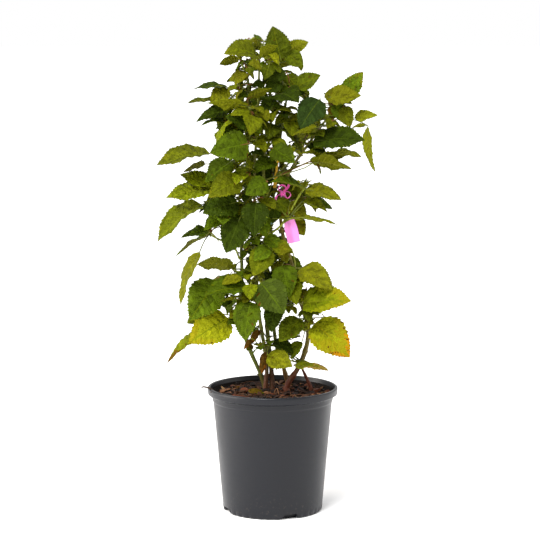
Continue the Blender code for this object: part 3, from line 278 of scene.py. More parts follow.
# A rear shoot has no placed leaves. The rule sets them all, from a stem with a bearing, a rise and a
# length in mm, and blade is the length in mm of its largest leaf's middle blade.
Rear = namedtuple("Rear", "name limb height bearing rise stem blade more")
REARS = (
    Rear("rear_high", "cane_middle", 730, 95, 30, 30, 66, 5),
    Rear("rear_upper_left", "cane_left", 665, 125, 20, 34, 72, 5),
    Rear("rear_upper_right", "cane_back", 670, 60, 20, 36, 74, 5),
    Rear("rear_middle", "cane_back", 590, 110, 15, 40, 80, 5),
    Rear("rear_left", "cane_left", 520, 140, 15, 40, 80, 5),
    Rear("rear_right", "cane_right", 540, 50, 15, 40, 76, 5),
    Rear("rear_low", "cane_back", 430, 95, 5, 44, 84, 6),
)

# The crown's bounds for the rule's leaves: at each height in mm, how far they may spread to either side.
Spread = namedtuple("Spread", "height left right")
CROWN = (
    Spread(230, -40, 40), Spread(300, -50, 40), Spread(330, -128, 100), Spread(410, -120, 80),
    Spread(430, -46, 60), Spread(460, -60, 34), Spread(495, -95, 42), Spread(530, -135, 90),
    Spread(565, -135, 90), Spread(585, -120, 35), Spread(600, -100, 25), Spread(625, -98, 60),
    Spread(650, -98, 140), Spread(690, -110, 120), Spread(720, -100, 62), Spread(755, -80, 72),
    Spread(790, -55, 52), Spread(850, -30, 40),
)
CROWN_BACK = 0.170
SIGHT_RISE = 0.10

SEED = "bramble"
MM = 0.001

# ---------------------------------------------------------------- vectors and paths
UP = np.array([0.0, 0.0, 1.0])
FRONT = np.array([0.0, -1.0, 0.0])
SLANTED = np.array([0.31, 0.57, 0.76])
GOLDEN_ANGLE = 137.5


def unit(v):
    return v / np.linalg.norm(v)


def heading(bearing, rise):
    """The unit vector with this bearing and this many degrees above level."""
    b, r = math.radians(bearing), math.radians(rise)
    return np.array([math.cos(b) * math.cos(r), math.sin(b) * math.cos(r), math.sin(r)])


def turned(v, axis, degrees):
    """v turned about a unit axis by the right-hand rule."""
    a = math.radians(degrees)
    return v * math.cos(a) + np.cross(axis, v) * math.sin(a) + axis * (axis @ v) * (1 - math.cos(a))


def across(direction, wanted):
    """The unit vector nearest to wanted that is square to direction."""
    return unit(wanted - (wanted @ direction) * direction)


def sagging(start, direction, length, sag, count):
    """Points from start along direction, pulled down by sag times the length at the far end."""
    t = np.linspace(0.0, 1.0, count)[:, None]
    return start + direction * length * t - UP * sag * length * t**2


def smooth_path(points, count):
    """count points on a Catmull-Rom curve through the given points, evenly spread over its spans."""
    p = np.array(points, float)
    p = np.vstack([2 * p[0] - p[1], p, 2 * p[-1] - p[-2]])
    spans = len(p) - 3
    found = []
    for x in np.linspace(0.0, spans, count):
        i = min(int(x), spans - 1)
        t = x - i
        a, b, c, d = p[i : i + 4]
        found.append(0.5 * (2 * b + (c - a) * t + (2 * a - 5 * b + 4 * c - d) * t**2
                            + (3 * b - 3 * c + d - a) * t**3))
    return np.array(found)


def run_along(path):
    """How far along a path each of its points lies."""
    return np.concatenate([[0.0], np.cumsum(np.linalg.norm(np.diff(path, axis=0), axis=1))])


def round_angles(count):
    """Angles of count points evenly round a circle."""
    return np.arange(count) * 2 * math.pi / count


def stem_start(shape, height, direction, radius):
    """(start, way) of a stem of this radius on a limb's shape, at a height in mm, or past the tip for 0.

    It stands SEAT_GAP clear of the limb, on the side it heads for. Past a tip its way is between its own
    and the limb's."""
    if height == 0:
        path = shape[0]
        tangent = unit(path[-1] - path[-2])
        way = unit(1.2 * tangent + direction)
        slant = math.sqrt(max(0.0, 1.0 - (tangent @ way) ** 2))
        return path[-1] + tangent * (SEAT_GAP + radius * slant), way
    centre, tangent, thickness = place_on(shape, height)
    outward = across(tangent, direction * np.array([1.0, 1.0, 0.0]))
    slant = math.sqrt(max(0.0, 1.0 - (outward @ direction) ** 2))
    return centre + outward * (thickness + SEAT_GAP + radius * slant), direction


def place_on(shape, height):
    """(centre, tangent, radius) of a limb's shape at a height in mm."""
    path, radii = shape
    order = np.argsort(path[:, 2])
    heights = path[order, 2]
    centre = np.array([np.interp(height * MM, heights, path[order, k]) for k in range(3)])
    nearest = int(np.argmin(np.abs(path[:, 2] - height * MM)))
    tangent = unit(path[min(nearest + 1, len(path) - 1)] - path[max(nearest - 1, 0)])
    return centre, tangent, np.interp(height * MM, heights, radii[order])


def limb_shapes():
    """{limb name: (points, radii)}. A limb tapers evenly, and its foot flares over its last FLARE_RUN."""
    shapes = {}
    for limb in LIMBS:
        points = list(limb.points)
        if limb.parent:
            way = unit(np.subtract(points[1], points[0]))
            start, way = stem_start(shapes[limb.parent], points[0][2] / MM, way, limb.foot_radius)
            points[0:1] = [start, start + way * 0.004]
        path = smooth_path(points, len(points) + LIMB_EXTRA_STEPS)
        if not limb.parent:
            path[1, :2] = path[0, :2]
        run = run_along(path)
        radii = limb.foot_radius + (limb.tip_radius - limb.foot_radius) * run / run[-1]
        shapes[limb.name] = (path, radii * (1.0 + (limb.flare - 1.0) * np.exp(-run / FLARE_RUN)))
    return shapes


# ---------------------------------------------------------------- meshes as (vertices, faces)
def tube(path, radii, sides):
    """A closed tube: a ring of points square to the path at each of its points, with flat ends."""
    path = np.asarray(path, float)
    radii = np.broadcast_to(radii, len(path))
    tangents = np.gradient(path, axis=0)
    tangents /= np.linalg.norm(tangents, axis=1)[:, None]
    side = across(tangents[0], SLANTED)
    angles = round_angles(sides)
    rings = []
    for point, tangent, radius in zip(path, tangents, radii):
        side = across(tangent, side)
        other = np.cross(tangent, side)
        rings.append(point + radius * (np.outer(np.cos(angles), side) + np.outer(np.sin(angles), other)))
    faces = []
    for i in range(len(path) - 1):
        for k in range(sides):
            a, b = i * sides + k, i * sides + (k + 1) % sides
            faces.append((a, b, b + sides, a + sides))
    last = (len(path) - 1) * sides
    faces.append(tuple(range(sides))[::-1])
    faces.append(tuple(range(last, last + sides)))
    return np.vstack(rings), faces


Blade = namedtuple("Blade", "base along face length width arch fold tint")


def blade_outline(u):
    """Half-width of a blade at u along its midrib, as a share of its widest: blunt base, drawn-out tip."""
    return u**0.6 * (1.0 - u) ** 1.2 / 0.3180


def blade_points(blade, u, v):
    """Points on a blade's middle surface at u (0 base, 1 tip) and v (-1 left edge, 0 midrib, 1 right).

    The midrib is an arc that bends away from the upper side by arch degrees. fold lifts each half."""
    u, v = np.asarray(u, float)[..., None], np.asarray(v, float)[..., None]
    arch, fold = math.radians(blade.arch), math.radians(blade.fold)
    angle = arch * u
    ahead = blade.length * np.sin(angle) / arch
    down = blade.length * (1.0 - np.cos(angle)) / arch
    lift = blade.face * np.cos(angle) + blade.along * np.sin(angle)
    half = 0.5 * blade.width * blade_outline(u) * v
    side = np.cross(blade.face, blade.along)
    return (blade.base + blade.along * ahead - blade.face * down
            + side * half * math.cos(fold) + lift * np.abs(half) * math.sin(fold))


FINE_EDGE = (0.10, 0.40, 0.74)
PLAIN_EDGE = (0.14, 0.56)
CREST_U = 0.42


def leaflet(path, radii, blade, thickness, edge):
    """A closed three-sided stalk along path that opens into a thin blade.

    edge gives the places along the midrib where each edge of the blade has a point. The blade is as
    thick as asked at one point of its midrib, and thins out to its edges. The stalk's last ring lies at
    the blade's base."""
    side = np.cross(blade.face, blade.along)
    points = np.vstack([path, blade.base])
    tangents = np.gradient(points, axis=0)
    tangents[-1] = blade.along
    angles = np.radians([30.0, 150.0, 270.0])
    rings = []
    for point, tangent, radius in zip(points[::-1], tangents[::-1], radii[::-1]):
        tangent = unit(tangent)
        side = across(tangent, side)
        other = np.cross(tangent, side)
        rings.append(point + radius * (np.outer(np.cos(angles), side) + np.outer(np.sin(angles), other)))
    rings.reverse()
    faces = [(2, 1, 0)]
    for i in range(len(points) - 1):
        for k in range(3):
            a, b = 3 * i + k, 3 * i + (k + 1) % 3
            faces.append((a, b, b + 3, a + 3))
    right, left, under = (3 * (len(points) - 1) + k for k in range(3))
    count = len(edge)
    first = right + 3
    outline = [left, *range(first, first + 2 * count + 1), right]
    shape = blade_points(blade, [*edge, 1.0, *reversed(edge)], [-1.0] * count + [0.0] + [1.0] * count)
    crest = blade_points(blade, CREST_U, 0.0)
    bend = math.radians(blade.arch) * CREST_U
    lift = 0.5 * thickness * (blade.face * math.cos(bend) + blade.along * math.sin(bend))
    upper, lower = first + 2 * count + 1, first + 2 * count + 2
    for a, b in zip(outline, outline[1:]):
        faces += [(a, b, upper), (b, a, lower)]
    faces += [(right, left, upper), (left, under, lower), (under, right, lower)]
    return np.vstack([*rings, shape, crest + lift, crest - lift]), faces


# ---------------------------------------------------------------- room between the pieces
class Crowd:
    """The pieces that have a place so far. A new piece takes its place only if it meets none of them."""

    def __init__(self):
        self.placed = []

    def add(self, owner, vertices, faces):
        tree = BVHTree.FromPolygons(vertices.tolist(), faces)
        self.placed.append((owner, vertices.min(0), vertices.max(0), tree))

    def meets(self, vertices, faces, besides=()):
        low, high = vertices.min(0), vertices.max(0)
        tree = None
        for owner, its_low, its_high, its_tree in self.placed:
            if owner in besides or (low > its_high).any() or (high < its_low).any():
                continue
            tree = tree or BVHTree.FromPolygons(vertices.tolist(), faces)
            if tree.overlap(its_tree):
                return True
        return False


def roomy_tube(path, radius):
    """The space that a stalk needs: its tube with the clearance round it."""
    return tube(path, radius + LEAF_CLEARANCE, 4)


def blade_alone(blade, clearance):
    """A blade with no stalk, larger by the clearance all round."""
    grown = blade._replace(length=blade.length + 2 * clearance, width=blade.width + 3 * clearance)
    root = [blade.base - blade.along * max(clearance, 0.0005)]
    radius = STALK_TIP_RADIUS + clearance
    return leaflet(root, [radius, radius], grown, BLADE_THICKNESS + 2 * clearance, FINE_EDGE)


# ---------------------------------------------------------------- the rule that grows a shoot
Leaf = namedtuple("Leaf", "stalk blades edge")
BLADE_WIDTH_SHARE = 0.78
SIDE_BLADE_SHARE = 0.80
TRIES = 30
LEAST_SHARE = 0.60
POT_CLEARANCE = 0.008


def stalk_path(root, stem_way, hub, arriving, count):
    """A curved stalk from root to hub. It sets off between the way of its stem and the way to the hub."""
    leaving = unit(0.5 * stem_way + unit(hub - root))
    reach = 0.35 * np.linalg.norm(hub - root)
    a, b = root + leaving * reach, hub - arriving * reach
    t = np.linspace(0.0, 1.0, count)[:, None]
    return (1 - t) ** 3 * root + 3 * (1 - t) ** 2 * t * a + 3 * (1 - t) * t**2 * b + t**3 * hub


def aimed_blade(hub, offset, length, bearing, droop, turn, tint, arch, fold):
    """A blade with its tip at this length, bearing and droop from its base."""
    chord = heading(bearing, -droop)
    upper = across(chord, UP if abs(chord[2]) < 0.97 else -heading(bearing, 0.0))
    side = np.cross(chord, upper)
    upper = turned(upper, chord, turn if side @ FRONT >= 0 else -turn)
    half = 0.5 * math.radians(arch)
    along = chord * math.cos(half) + upper * math.sin(half)
    face = upper * math.cos(half) - chord * math.sin(half)
    full = length * half / math.sin(half)
    return Blade(hub + along * offset, along, face, full, full * BLADE_WIDTH_SHARE, arch, fold, tint)


def placed_leaf(root, stem_way, hub, rows, arch, rng):
    """A leaf of the plan: its stalk, and a blade for each row of length, bearing, droop and turn."""
    blades = [aimed_blade(hub, 0.004 if k else 0.002, row[0] * MM, *row[1:], arch * rng.uniform(0.8, 1.2),
                          rng.uniform(8, 18)) for k, row in enumerate(rows)]
    arriving = unit(unit(hub - root) + 0.7 * blades[0].along)
    return Leaf(stalk_path(root, stem_way, hub, arriving, 3), blades, FINE_EDGE)


def free_leaf(root, stem_way, bearing, rise, reach, length, droop, arch, tint, rng):
    """A leaf of the rule: one middle blade, and a smaller one that stands out on each side of it."""
    hub = root + heading(bearing, rise) * reach
    turn = rng.uniform(-10, 35)
    middle = aimed_blade(hub, 0.24 * length, length, bearing, droop, turn, tint, arch, rng.uniform(8, 18))
    blades = [middle]
    spread = rng.uniform(66, 82)
    for sign in (1, -1):
        along = turned(middle.along, middle.face, sign * spread)
        along = unit(along - 0.12 * UP)
        face = turned(across(along, middle.face), along, rng.uniform(-12, 12))
        full = middle.length * SIDE_BLADE_SHARE * rng.uniform(0.88, 1.08)
        blades.append(Blade(hub + along * 0.004, along, face, full, full * BLADE_WIDTH_SHARE,
                            arch * rng.uniform(0.7, 1.1), rng.uniform(8, 18), tint))
    arriving = unit(unit(hub - root) + 0.7 * middle.along)
    return Leaf(stalk_path(root, stem_way, hub, arriving, 3), blades, PLAIN_EDGE)


def fitted(leaf, crowd, name):
    """The leaf with the blades that have room, or None where its stalk or its first blade has none."""
    path = np.vstack([leaf.stalk, leaf.blades[0].base])
    path[0] += unit(path[1] - path[0]) * 0.0032
    if crowd.meets(*roomy_tube(path, STALK_RADIUS), besides=(name + "_stem", name)):
        return None
    kept = []
    for blade in leaf.blades:
        vertices, faces = blade_alone(blade, LEAF_CLEARANCE)
        near_pot = np.hypot(vertices[:, 0], vertices[:, 1]) < RIM_RADIUS + POT_CLEARANCE
        low = (vertices[near_pot, 2] < POT_HEIGHT + POT_CLEARANCE).any()
        if not low and not crowd.meets(vertices, faces):
            kept.append(blade)
    if not kept or kept[0] is not leaf.blades[0]:
        return None
    return leaf._replace(blades=kept)


def in_crown(blade):
    """True if a blade stays inside the crown's outline, seen from the front and a little above."""
    tops = blade_points(blade, [0.1, 0.4, 0.4, 1.0], [0.0, 1.0, -1.0, 0.0])
    seen = (tops[:, 2] + SIGHT_RISE * tops[:, 1]) / MM
    heights = [spread.height for spread in CROWN]
    left = np.interp(seen, heights, [spread.left for spread in CROWN])
    right = np.interp(seen, heights, [spread.right for spread in CROWN])
    beside = tops[:, 0] / MM
    return (beside > left).all() and (beside < right).all() and (tops[:, 1] < CROWN_BACK).all()


def best_of(makes, wanted, crowd, name, bounded=False):
    """The first leaf with room for all its wanted blades, or the one with most."""
    best = None
    for leaf in makes:
        if bounded:
            leaf = leaf._replace(blades=[blade for blade in leaf.blades if in_crown(blade)] or None)
            if leaf.blades is None:
                continue
        found = fitted(leaf, crowd, name)
        if found and (best is None or len(found.blades) > len(best.blades)):
            best = found
        if best and len(best.blades) == wanted:
            break
    return best


def settle(crowd, name, leaf):
    """Gives a leaf its place: its stalk may be met by the same mass alone, and its blades by nothing."""
    crowd.add(name, *tube(np.vstack([leaf.stalk, leaf.blades[0].base]), STALK_RADIUS, TWIG_SIDES))
    for blade in leaf.blades:
        crowd.add(name + "_blades", *blade_alone(blade, 0.0))


def stem_of(crowd, name, limb, shape, height, bearing, rise, length):
    """A stem that meets nothing but its limb, at the wanted bearing and height or near them."""
    for attempt in range(TRIES):
        rng = random.Random(f"{SEED}/{name}/stem/{attempt}")
        loose = attempt / TRIES
        direction = heading(bearing + rng.uniform(-70, 70) * loose, rise)
        shifted = height + rng.uniform(-10, 10) * loose if height else 0
        start, way = stem_start(shape, shifted, direction, STEM_RADIUS)
        stem = sagging(start, way, length, 0.05, 3)
        clear = np.vstack([stem[0] + way * 0.0005, stem[1:]])
        if not crowd.meets(*roomy_tube(clear, STEM_RADIUS), besides=(limb,)):
            break
    crowd.add(name + "_stem", *tube(stem, STEM_RADIUS, TWIG_SIDES))
    return stem


def more_leaves(crowd, name, stem, bearing, count, blade, leaves):
    """Adds count leaves of the rule along the stem, each turned on from the last by the golden angle."""
    stem_way = unit(stem[-1] - stem[0])
    for k in range(count):
        seed = f"{SEED}/{name}/more/{k}"
        rng = random.Random(seed)
        root = stem[0] + (stem[-1] - stem[0]) * (0.85 - 0.6 * k / count)
        facing = bearing + GOLDEN_ANGLE * k
        tint = random.Random(f"{seed}/tint").choice(RULE_TINTS if name.startswith("rear") else SHADED_TINTS)

        def tries():
            for attempt in range(TRIES):
                rng = random.Random(f"{seed}/{attempt}")
                loose = attempt / TRIES
                size = blade * rng.uniform(0.72, 1.0) * (1 - (1 - LEAST_SHARE) * loose)
                yield free_leaf(root, stem_way, facing + rng.uniform(-60, 60) * (0.3 + loose),
                                rng.uniform(-5, 45), rng.uniform(0.020, 0.055), size * MM,
                                rng.uniform(10, 60), rng.uniform(20, 45), tint, rng)

        leaf = best_of(tries(), 3, crowd, name, bounded=True)
        if leaf:
            settle(crowd, name, leaf)
            leaves.append(leaf)


def grow_shoot(shoot, shape, crowd):
    """(stem, leaves) of a shoot. A leaf with no room is moved more in depth than to the side or up."""
    mean = np.array(shoot.leaves[0][0])
    if shoot.height:
        mean = np.mean([leaf[0] for leaf in shoot.leaves], axis=0)
    nearest = min(np.linalg.norm(leaf[0]) for leaf in shoot.leaves) * MM
    bearing = math.degrees(math.atan2(mean[1], mean[0]))
    rise = math.degrees(math.asin(mean[2] / np.linalg.norm(mean)))
    rise = max(-35.0, min(60.0, rise))
    length = max(0.35 * nearest, 0.004)
    stem = stem_of(crowd, shoot.name, shoot.limb, shape, shoot.height, bearing, rise, length)
    origin = stem[0]
    stem_way = unit(stem[-1] - stem[0])
    leaves = []
    for k, (offset, *rows) in enumerate(shoot.leaves):
        root = stem[-1] - stem_way * 0.001 if k == 0 else stem[0] + (stem[-1] - stem[0]) * (0.9 - 0.25 * k)

        def tries():
            for attempt in range(TRIES):
                rng = random.Random(f"{SEED}/{shoot.name}/{k}/{attempt}")
                loose = attempt / TRIES
                depth = rng.uniform(-28, 28) * loose
                nudge = np.array([rng.uniform(-5, 5), 0.0, rng.uniform(-5, 5)]) * loose
                moved = [(length * (1 - 0.25 * loose * rng.random()),
                          bearing + rng.uniform(-30, 30) * loose,
                          droop + rng.uniform(-12, 12) * loose,
                          turn + rng.uniform(-25, 25) * loose, tint)
                         for length, bearing, droop, turn, tint in rows]
                hub = origin + (np.array(offset) + nudge + np.array([0.0, depth, 0.0])) * MM
                yield placed_leaf(root, stem_way, hub, moved, shoot.arch, rng)

        leaf = best_of(tries(), len(rows), crowd, shoot.name)
        if leaf:
            settle(crowd, shoot.name, leaf)
            leaves.append(leaf)
    return stem, leaves


def grow_plant(shapes, crowd):
    """{shoot name: (stem, leaves)}: limbs take their places, then placed leaves, then the rule's."""
    for name, (path, radii) in shapes.items():
        crowd.add(name, *tube(path, radii + 0.0004, LIMB_SIDES))
    grown = {}
    for shoot in SHOOTS:
        grown[shoot.name] = grow_shoot(shoot, shapes[shoot.limb], crowd)
    for rear in REARS:
        stem = stem_of(crowd, rear.name, rear.limb, shapes[rear.limb], rear.height, rear.bearing,
                       rear.rise, rear.stem * MM)
        leaves = []
        more_leaves(crowd, rear.name, stem, rear.bearing, rear.more, rear.blade, leaves)
        grown[rear.name] = (stem, leaves)
    for shoot in SHOOTS:
        stem, leaves = grown[shoot.name]
        longest = max(row[0] for leaf in shoot.leaves for row in leaf[1:])
        more_leaves(crowd, shoot.name, stem, 90, shoot.more, 0.85 * longest, leaves)
    return grown


# ---------------------------------------------------------------- colours and finishes
def linear(code):
    """The linear (r, g, b, 1) of an sRGB hex colour."""
    parts = [int(code[i : i + 2], 16) / 255 for i in (1, 3, 5)]
    return (*(c / 12.92 if c <= 0.04045 else ((c + 0.055) / 1.055) ** 2.4 for c in parts), 1.0)


def add_node(tree, kind, inputs=None, **settings):
    """Adds a node, with its settings, and sets or links its inputs: an output is linked, a value is set."""
    made = tree.nodes.new("ShaderNode" + kind)
    for name, value in settings.items():
        setattr(made, name, value)
    for name, value in (inputs or {}).items():
        if isinstance(value, bpy.types.NodeSocket):
            tree.links.new(value, made.inputs[name])
        else:
            made.inputs[name].default_value = value
    return made


def finish(name, colour, roughness, **sockets):
    """(material, tree, shader) with a plain Principled surface."""
    made = bpy.data.materials.new(name)
    made.use_nodes = True
    tree = made.node_tree
    shader = tree.nodes["Principled BSDF"]
    shader.inputs["Base Color"].default_value = linear(colour)
    shader.inputs["Roughness"].default_value = roughness
    for socket, value in sockets.items():
        shader.inputs[socket.replace("_", " ")].default_value = value
    return made, tree, shader


def relief(tree, shader, height, depth, strength, normal=None):
    """Links a height pattern to the shader as a bump this many metres deep."""
    inputs = {"Height": height, "Distance": depth, "Strength": strength}
    if normal:
        inputs["Normal"] = normal
    bump = add_node(tree, "Bump", inputs)
    tree.links.new(bump.outputs["Normal"], shader.inputs["Normal"])
    return bump.outputs["Normal"]


def object_place(tree):
    """Where a point lies on its object, in metres."""
    return add_node(tree, "TexCoord").outputs["Object"]


def noise(tree, place, size_mm, detail, **more):
    """A cloudy pattern whose patches are about this many millimetres across."""
    inputs = {"Vector": place, "Scale": 1.0 / (size_mm * MM), "Detail": detail, **more}
    return add_node(tree, "TexNoise", inputs).outputs["Fac"]


def ranged(tree, value, low, high, to_low=0.0, to_high=1.0):
    """value between low and high, carried over to lie between to_low and to_high."""
    return add_node(tree, "MapRange", {"Value": value, "From Min": low, "From Max": high, "To Min": to_low,
                                       "To Max": to_high}).outputs["Result"]


def stretched(tree, place, *shares):
    """The same place with each axis scaled: a pattern is drawn out along an axis with a low share."""
    return add_node(tree, "Mapping", {"Vector": place, "Scale": shares}).outputs["Vector"]


def grained_finish(name, colour, roughness, specular, size_mm, detail, depth, strength):
    """One plain colour over a fine grain in relief."""
    made, tree, shader = finish(name, colour, roughness, Specular_IOR_Level=specular)
    relief(tree, shader, noise(tree, object_place(tree), size_mm, detail), depth, strength)
    return made


# Leaf skins, each a plain colour that is dealt out leaf by leaf.
# The undersides under, pale_olive and lime are the leaf's own paler underside, lifted further as painted
# light shining through the leaf.
LEAF_COLOURS = {
    "deep": "#263105", "dark": "#2c3906", "blue_dark": "#435114", "teal": "#273810",
    "mid_deep": "#404f08", "mid": "#4e600c", "mid_olive": "#5c6209", "olive": "#60610a",
    "deep_olive": "#495208", "olive_light": "#686a0d", "fresh": "#5f6808", "yellow_green": "#7b7e0d",
    "yellow": "#857e0d", "gold": "#a5720a", "lime": "#767a11", "pale": "#6f6f2e",
    "pale_olive": "#82851c", "bronze": "#55410d", "brown": "#4f360b", "tan": "#877230",
    "under": "#6a721d", "vein_dark": "#39460c", "vein_fresh": "#6b6e13", "vein_pale": "#76761c",
    "rust": "#653c0b",
}
# How the light catches a leaf: a waxy upper side, and a downy underside.
MATT_SKINS = {"under", "pale", "pale_olive", "lime", "vein_pale", "brown", "tan", "bronze", "rust"}
WAXY, DOWNY = 0.48, 0.70
LEAF_SHINE = 0.025
LEAF_NET_MM = 2.4
LEAF_QUILT_MM = 7.0


def shaded(code, share):
    """An sRGB hex colour with each channel scaled by share."""
    return "#" + "".join(f"{round(int(code[i : i + 2], 16) * share):02x}" for i in (1, 3, 5))


def leaf_finish(name, colour, roughness):
    """A living leaf's skin: a plain colour under fine net veins, puckered between the large ones."""
    made, tree, shader = finish("leaf_skin_" + name, colour, roughness, Specular_IOR_Level=LEAF_SHINE)
    place = object_place(tree)
    net = add_node(tree, "TexVoronoi", {"Vector": place, "Scale": 1.0 / (LEAF_NET_MM * MM)},
                   feature="DISTANCE_TO_EDGE")
    fine = relief(tree, shader, net.outputs["Distance"], 0.0008, 0.6)
    relief(tree, shader, noise(tree, place, LEAF_QUILT_MM, 2.5), 0.0065, 1.0, fine)
    return made


def leaf_finishes():
    """{name: material}: each leaf colour as it is, once more a shade darker, and once a little lighter."""
    made = {}
    for name, colour in LEAF_COLOURS.items():
        roughness = DOWNY if name in MATT_SKINS else WAXY
        for suffix, share in (("", 1.0), ("_shade", 0.84), ("_light", 1.13)):
            made[name + suffix] = leaf_finish(name + suffix, shaded(colour, share), roughness)
    return made


def cane_finish(name, low, middle, high, brown_top):
    """Bramble bark: rust brown and flaky at the foot, then green with brown streaks along the cane."""
    made, tree, shader = finish(name, middle, 0.55, Specular_IOR_Level=0.25)
    place = object_place(tree)
    height = add_node(tree, "SeparateXYZ", {"Vector": place}).outputs["Z"]
    streak = noise(tree, stretched(tree, place, 1.0, 1.0, 0.16), 3.0, 4.0)
    wobble = ranged(tree, streak, 0.25, 0.75, -0.030, 0.030)
    height = add_node(tree, "Math", {0: height, 1: wobble}, operation="ADD").outputs[0]
    ramp = add_node(tree, "ValToRGB", {"Fac": ranged(tree, height, SOIL_LEVEL, 0.80)})
    stops = ramp.color_ramp.elements
    stops[0].position, stops[0].color = 0.0, linear(low)
    stops[1].position, stops[1].color = 1.0, linear(high)
    for position, colour in ((brown_top, low), (brown_top + 0.06, middle), (0.60, middle)):
        stops.new(position).color = linear(colour)
    dark = ranged(tree, streak, 0.52, 0.68, 0.0, 0.80)
    mixed = mixed_colour(tree, dark, ramp.outputs["Color"], linear("#3a2a12"))
    tree.links.new(mixed, shader.inputs["Base Color"])
    relief(tree, shader, streak, 0.0014, 0.9)
    return made


def mixed_colour(tree, share, first, second):
    """Two colours mixed by share."""
    mix = tree.nodes.new("ShaderNodeMix")
    mix.data_type = "RGBA"
    sockets = [s for s in mix.inputs if s.type == "RGBA"]
    factor = next(s for s in mix.inputs if s.name == "Factor" and s.type == "VALUE")
    for socket, value in ((factor, share), (sockets[0], first), (sockets[1], second)):
        if isinstance(value, bpy.types.NodeSocket):
            tree.links.new(value, socket)
        else:
            socket.default_value = value
    return next(s for s in mix.outputs if s.type == "RGBA")


def pot_finish():
    """Moulded polypropylene: satin charcoal, faint flow bands, and dried splash marks low down."""
    made, tree, shader = finish("moulded_polypropylene", "#111114", 0.36, Specular_IOR_Level=0.34)
    place = object_place(tree)
    height = add_node(tree, "SeparateXYZ", {"Vector": place}).outputs["Z"]
    cloud = noise(tree, place, 60.0, 5.0, Roughness=0.6)
    body = mixed_colour(tree, cloud, linear("#090c15"), linear("#101116"))
    splash = ranged(tree, noise(tree, place, 5.0, 3.0), 0.58, 0.74)
    low = ranged(tree, height, 0.06, 0.0, 0.0, 0.55)
    soiled = add_node(tree, "Math", {0: splash, 1: low}, operation="MULTIPLY").outputs[0]
    tree.links.new(mixed_colour(tree, soiled, body, linear("#3f3832")), shader.inputs["Base Color"])
    tree.links.new(ranged(tree, cloud, 0.3, 0.7, 0.30, 0.42), shader.inputs["Roughness"])
    flow = noise(tree, stretched(tree, place, 0.12, 0.12, 1.0), 9.0, 2.0)
    bands = relief(tree, shader, flow, 0.0006, 0.5)
    relief(tree, shader, noise(tree, place, 0.9, 1.0), 0.00008, 0.5, bands)
    return made


def bark_finish(name, colour, other, size_mm=6.0):
    """Composted bark, damp and fibrous: two browns in fine grain, rough all over."""
    made, tree, shader = finish(name, colour, 0.9, Specular_IOR_Level=0.15)
    grain = noise(tree, object_place(tree), size_mm, 6.0, Roughness=0.7)
    mixed = mixed_colour(tree, ranged(tree, grain, 0.35, 0.68), linear(colour), linear(other))
    tree.links.new(mixed, shader.inputs["Base Color"])
    relief(tree, shader, grain, 0.0012, 0.8)
    return made


STALK_COLOURS = {"stalk": "#626a18", "stalk_dark": "#4a5214", "stalk_lime": "#7d8420", "stalk_red": "#6a4318",
                 "stalk_brown": "#5a4a18", "bud": "#74731c"}
CHIP_COLOURS = {"chip_dark": "#180e09", "chip_damp": "#28170e", "chip_brown": "#432a1a",
                "chip_rust": "#552a15", "chip_tan": "#704c31", "chip_pale": "#8f6f4c", "root": "#3f3024"}
# pink_vinyl_knot is the pink tape in a deeper pink: painted shade in the folds of the knot. The yellow knot
# keeps its tape's colour.
VINYL_COLOURS = {"pink_vinyl": "#fb93e0", "pink_vinyl_knot": "#ee5fb4", "yellow_vinyl": "#eab612",
                 "yellow_vinyl_knot": "#eab612"}


def all_finishes():
    """{finish name: material} of every piece but the limbs."""
    made = leaf_finishes()
    # The green rind of a stalk has fine ribs along it and a soft shine.
    for name, colour in STALK_COLOURS.items():
        made[name] = grained_finish("stalk_rind_" + name, colour, 0.50, 0.3, 2.0, 2.0, 0.0003, 0.4)
    # A split bark chip is one brown, with fibres a millimetre apart.
    for name, colour in CHIP_COLOURS.items():
        made[name] = grained_finish("bark_chip_" + name, colour, 0.8, 0.2, 1.5, 3.0, 0.0006, 0.7)
    # Thin vinyl tape has a soft gloss, and creases a few millimetres apart.
    for name, colour in VINYL_COLOURS.items():
        made[name] = grained_finish(name + "_tape", colour, 0.42, 0.5, 7.0, 3.0, 0.0008, 0.6)
    made["tie"] = grained_finish("green_vinyl_tie", "#1b5a4c", 0.40, 0.5, 7.0, 3.0, 0.0008, 0.6)
    made["pot"] = pot_finish()
    made["pot_inside"] = bark_finish("soiled_polypropylene", "#0c0b0c", "#221913", 9.0)
    made["bark_fines"] = bark_finish("bark_fines", "#0a0705", "#22150d")
    return made


# ---------------------------------------------------------------- meshes from whole arrays
Patch = namedtuple("Patch", "corners faces finishes places")


def patch(corners, faces, finish_name, places=None):
    """A closed patch of a piece, with its faces turned outwards.

    faces is a list of arrays of corner numbers, all of one width in each array. finish_name is one name, or
    an array of names for each array of faces. places holds the corners' places on the flat, or None."""
    corners = np.asarray(corners, float)
    if isinstance(finish_name, str):
        names = [np.full(len(f), finish_name, dtype="U24") for f in faces]
    else:
        names = finish_name
    volume = sum(np.einsum("ij,ij->", corners[f[:, 0]], np.cross(corners[f[:, k]], corners[f[:, k + 1]]))
                 for f in faces for k in range(1, f.shape[1] - 1))
    if volume < 0:
        faces = [f[:, ::-1] for f in faces]
        places = places and [p[:, ::-1] for p in places]
    return Patch(corners, faces, names, places)


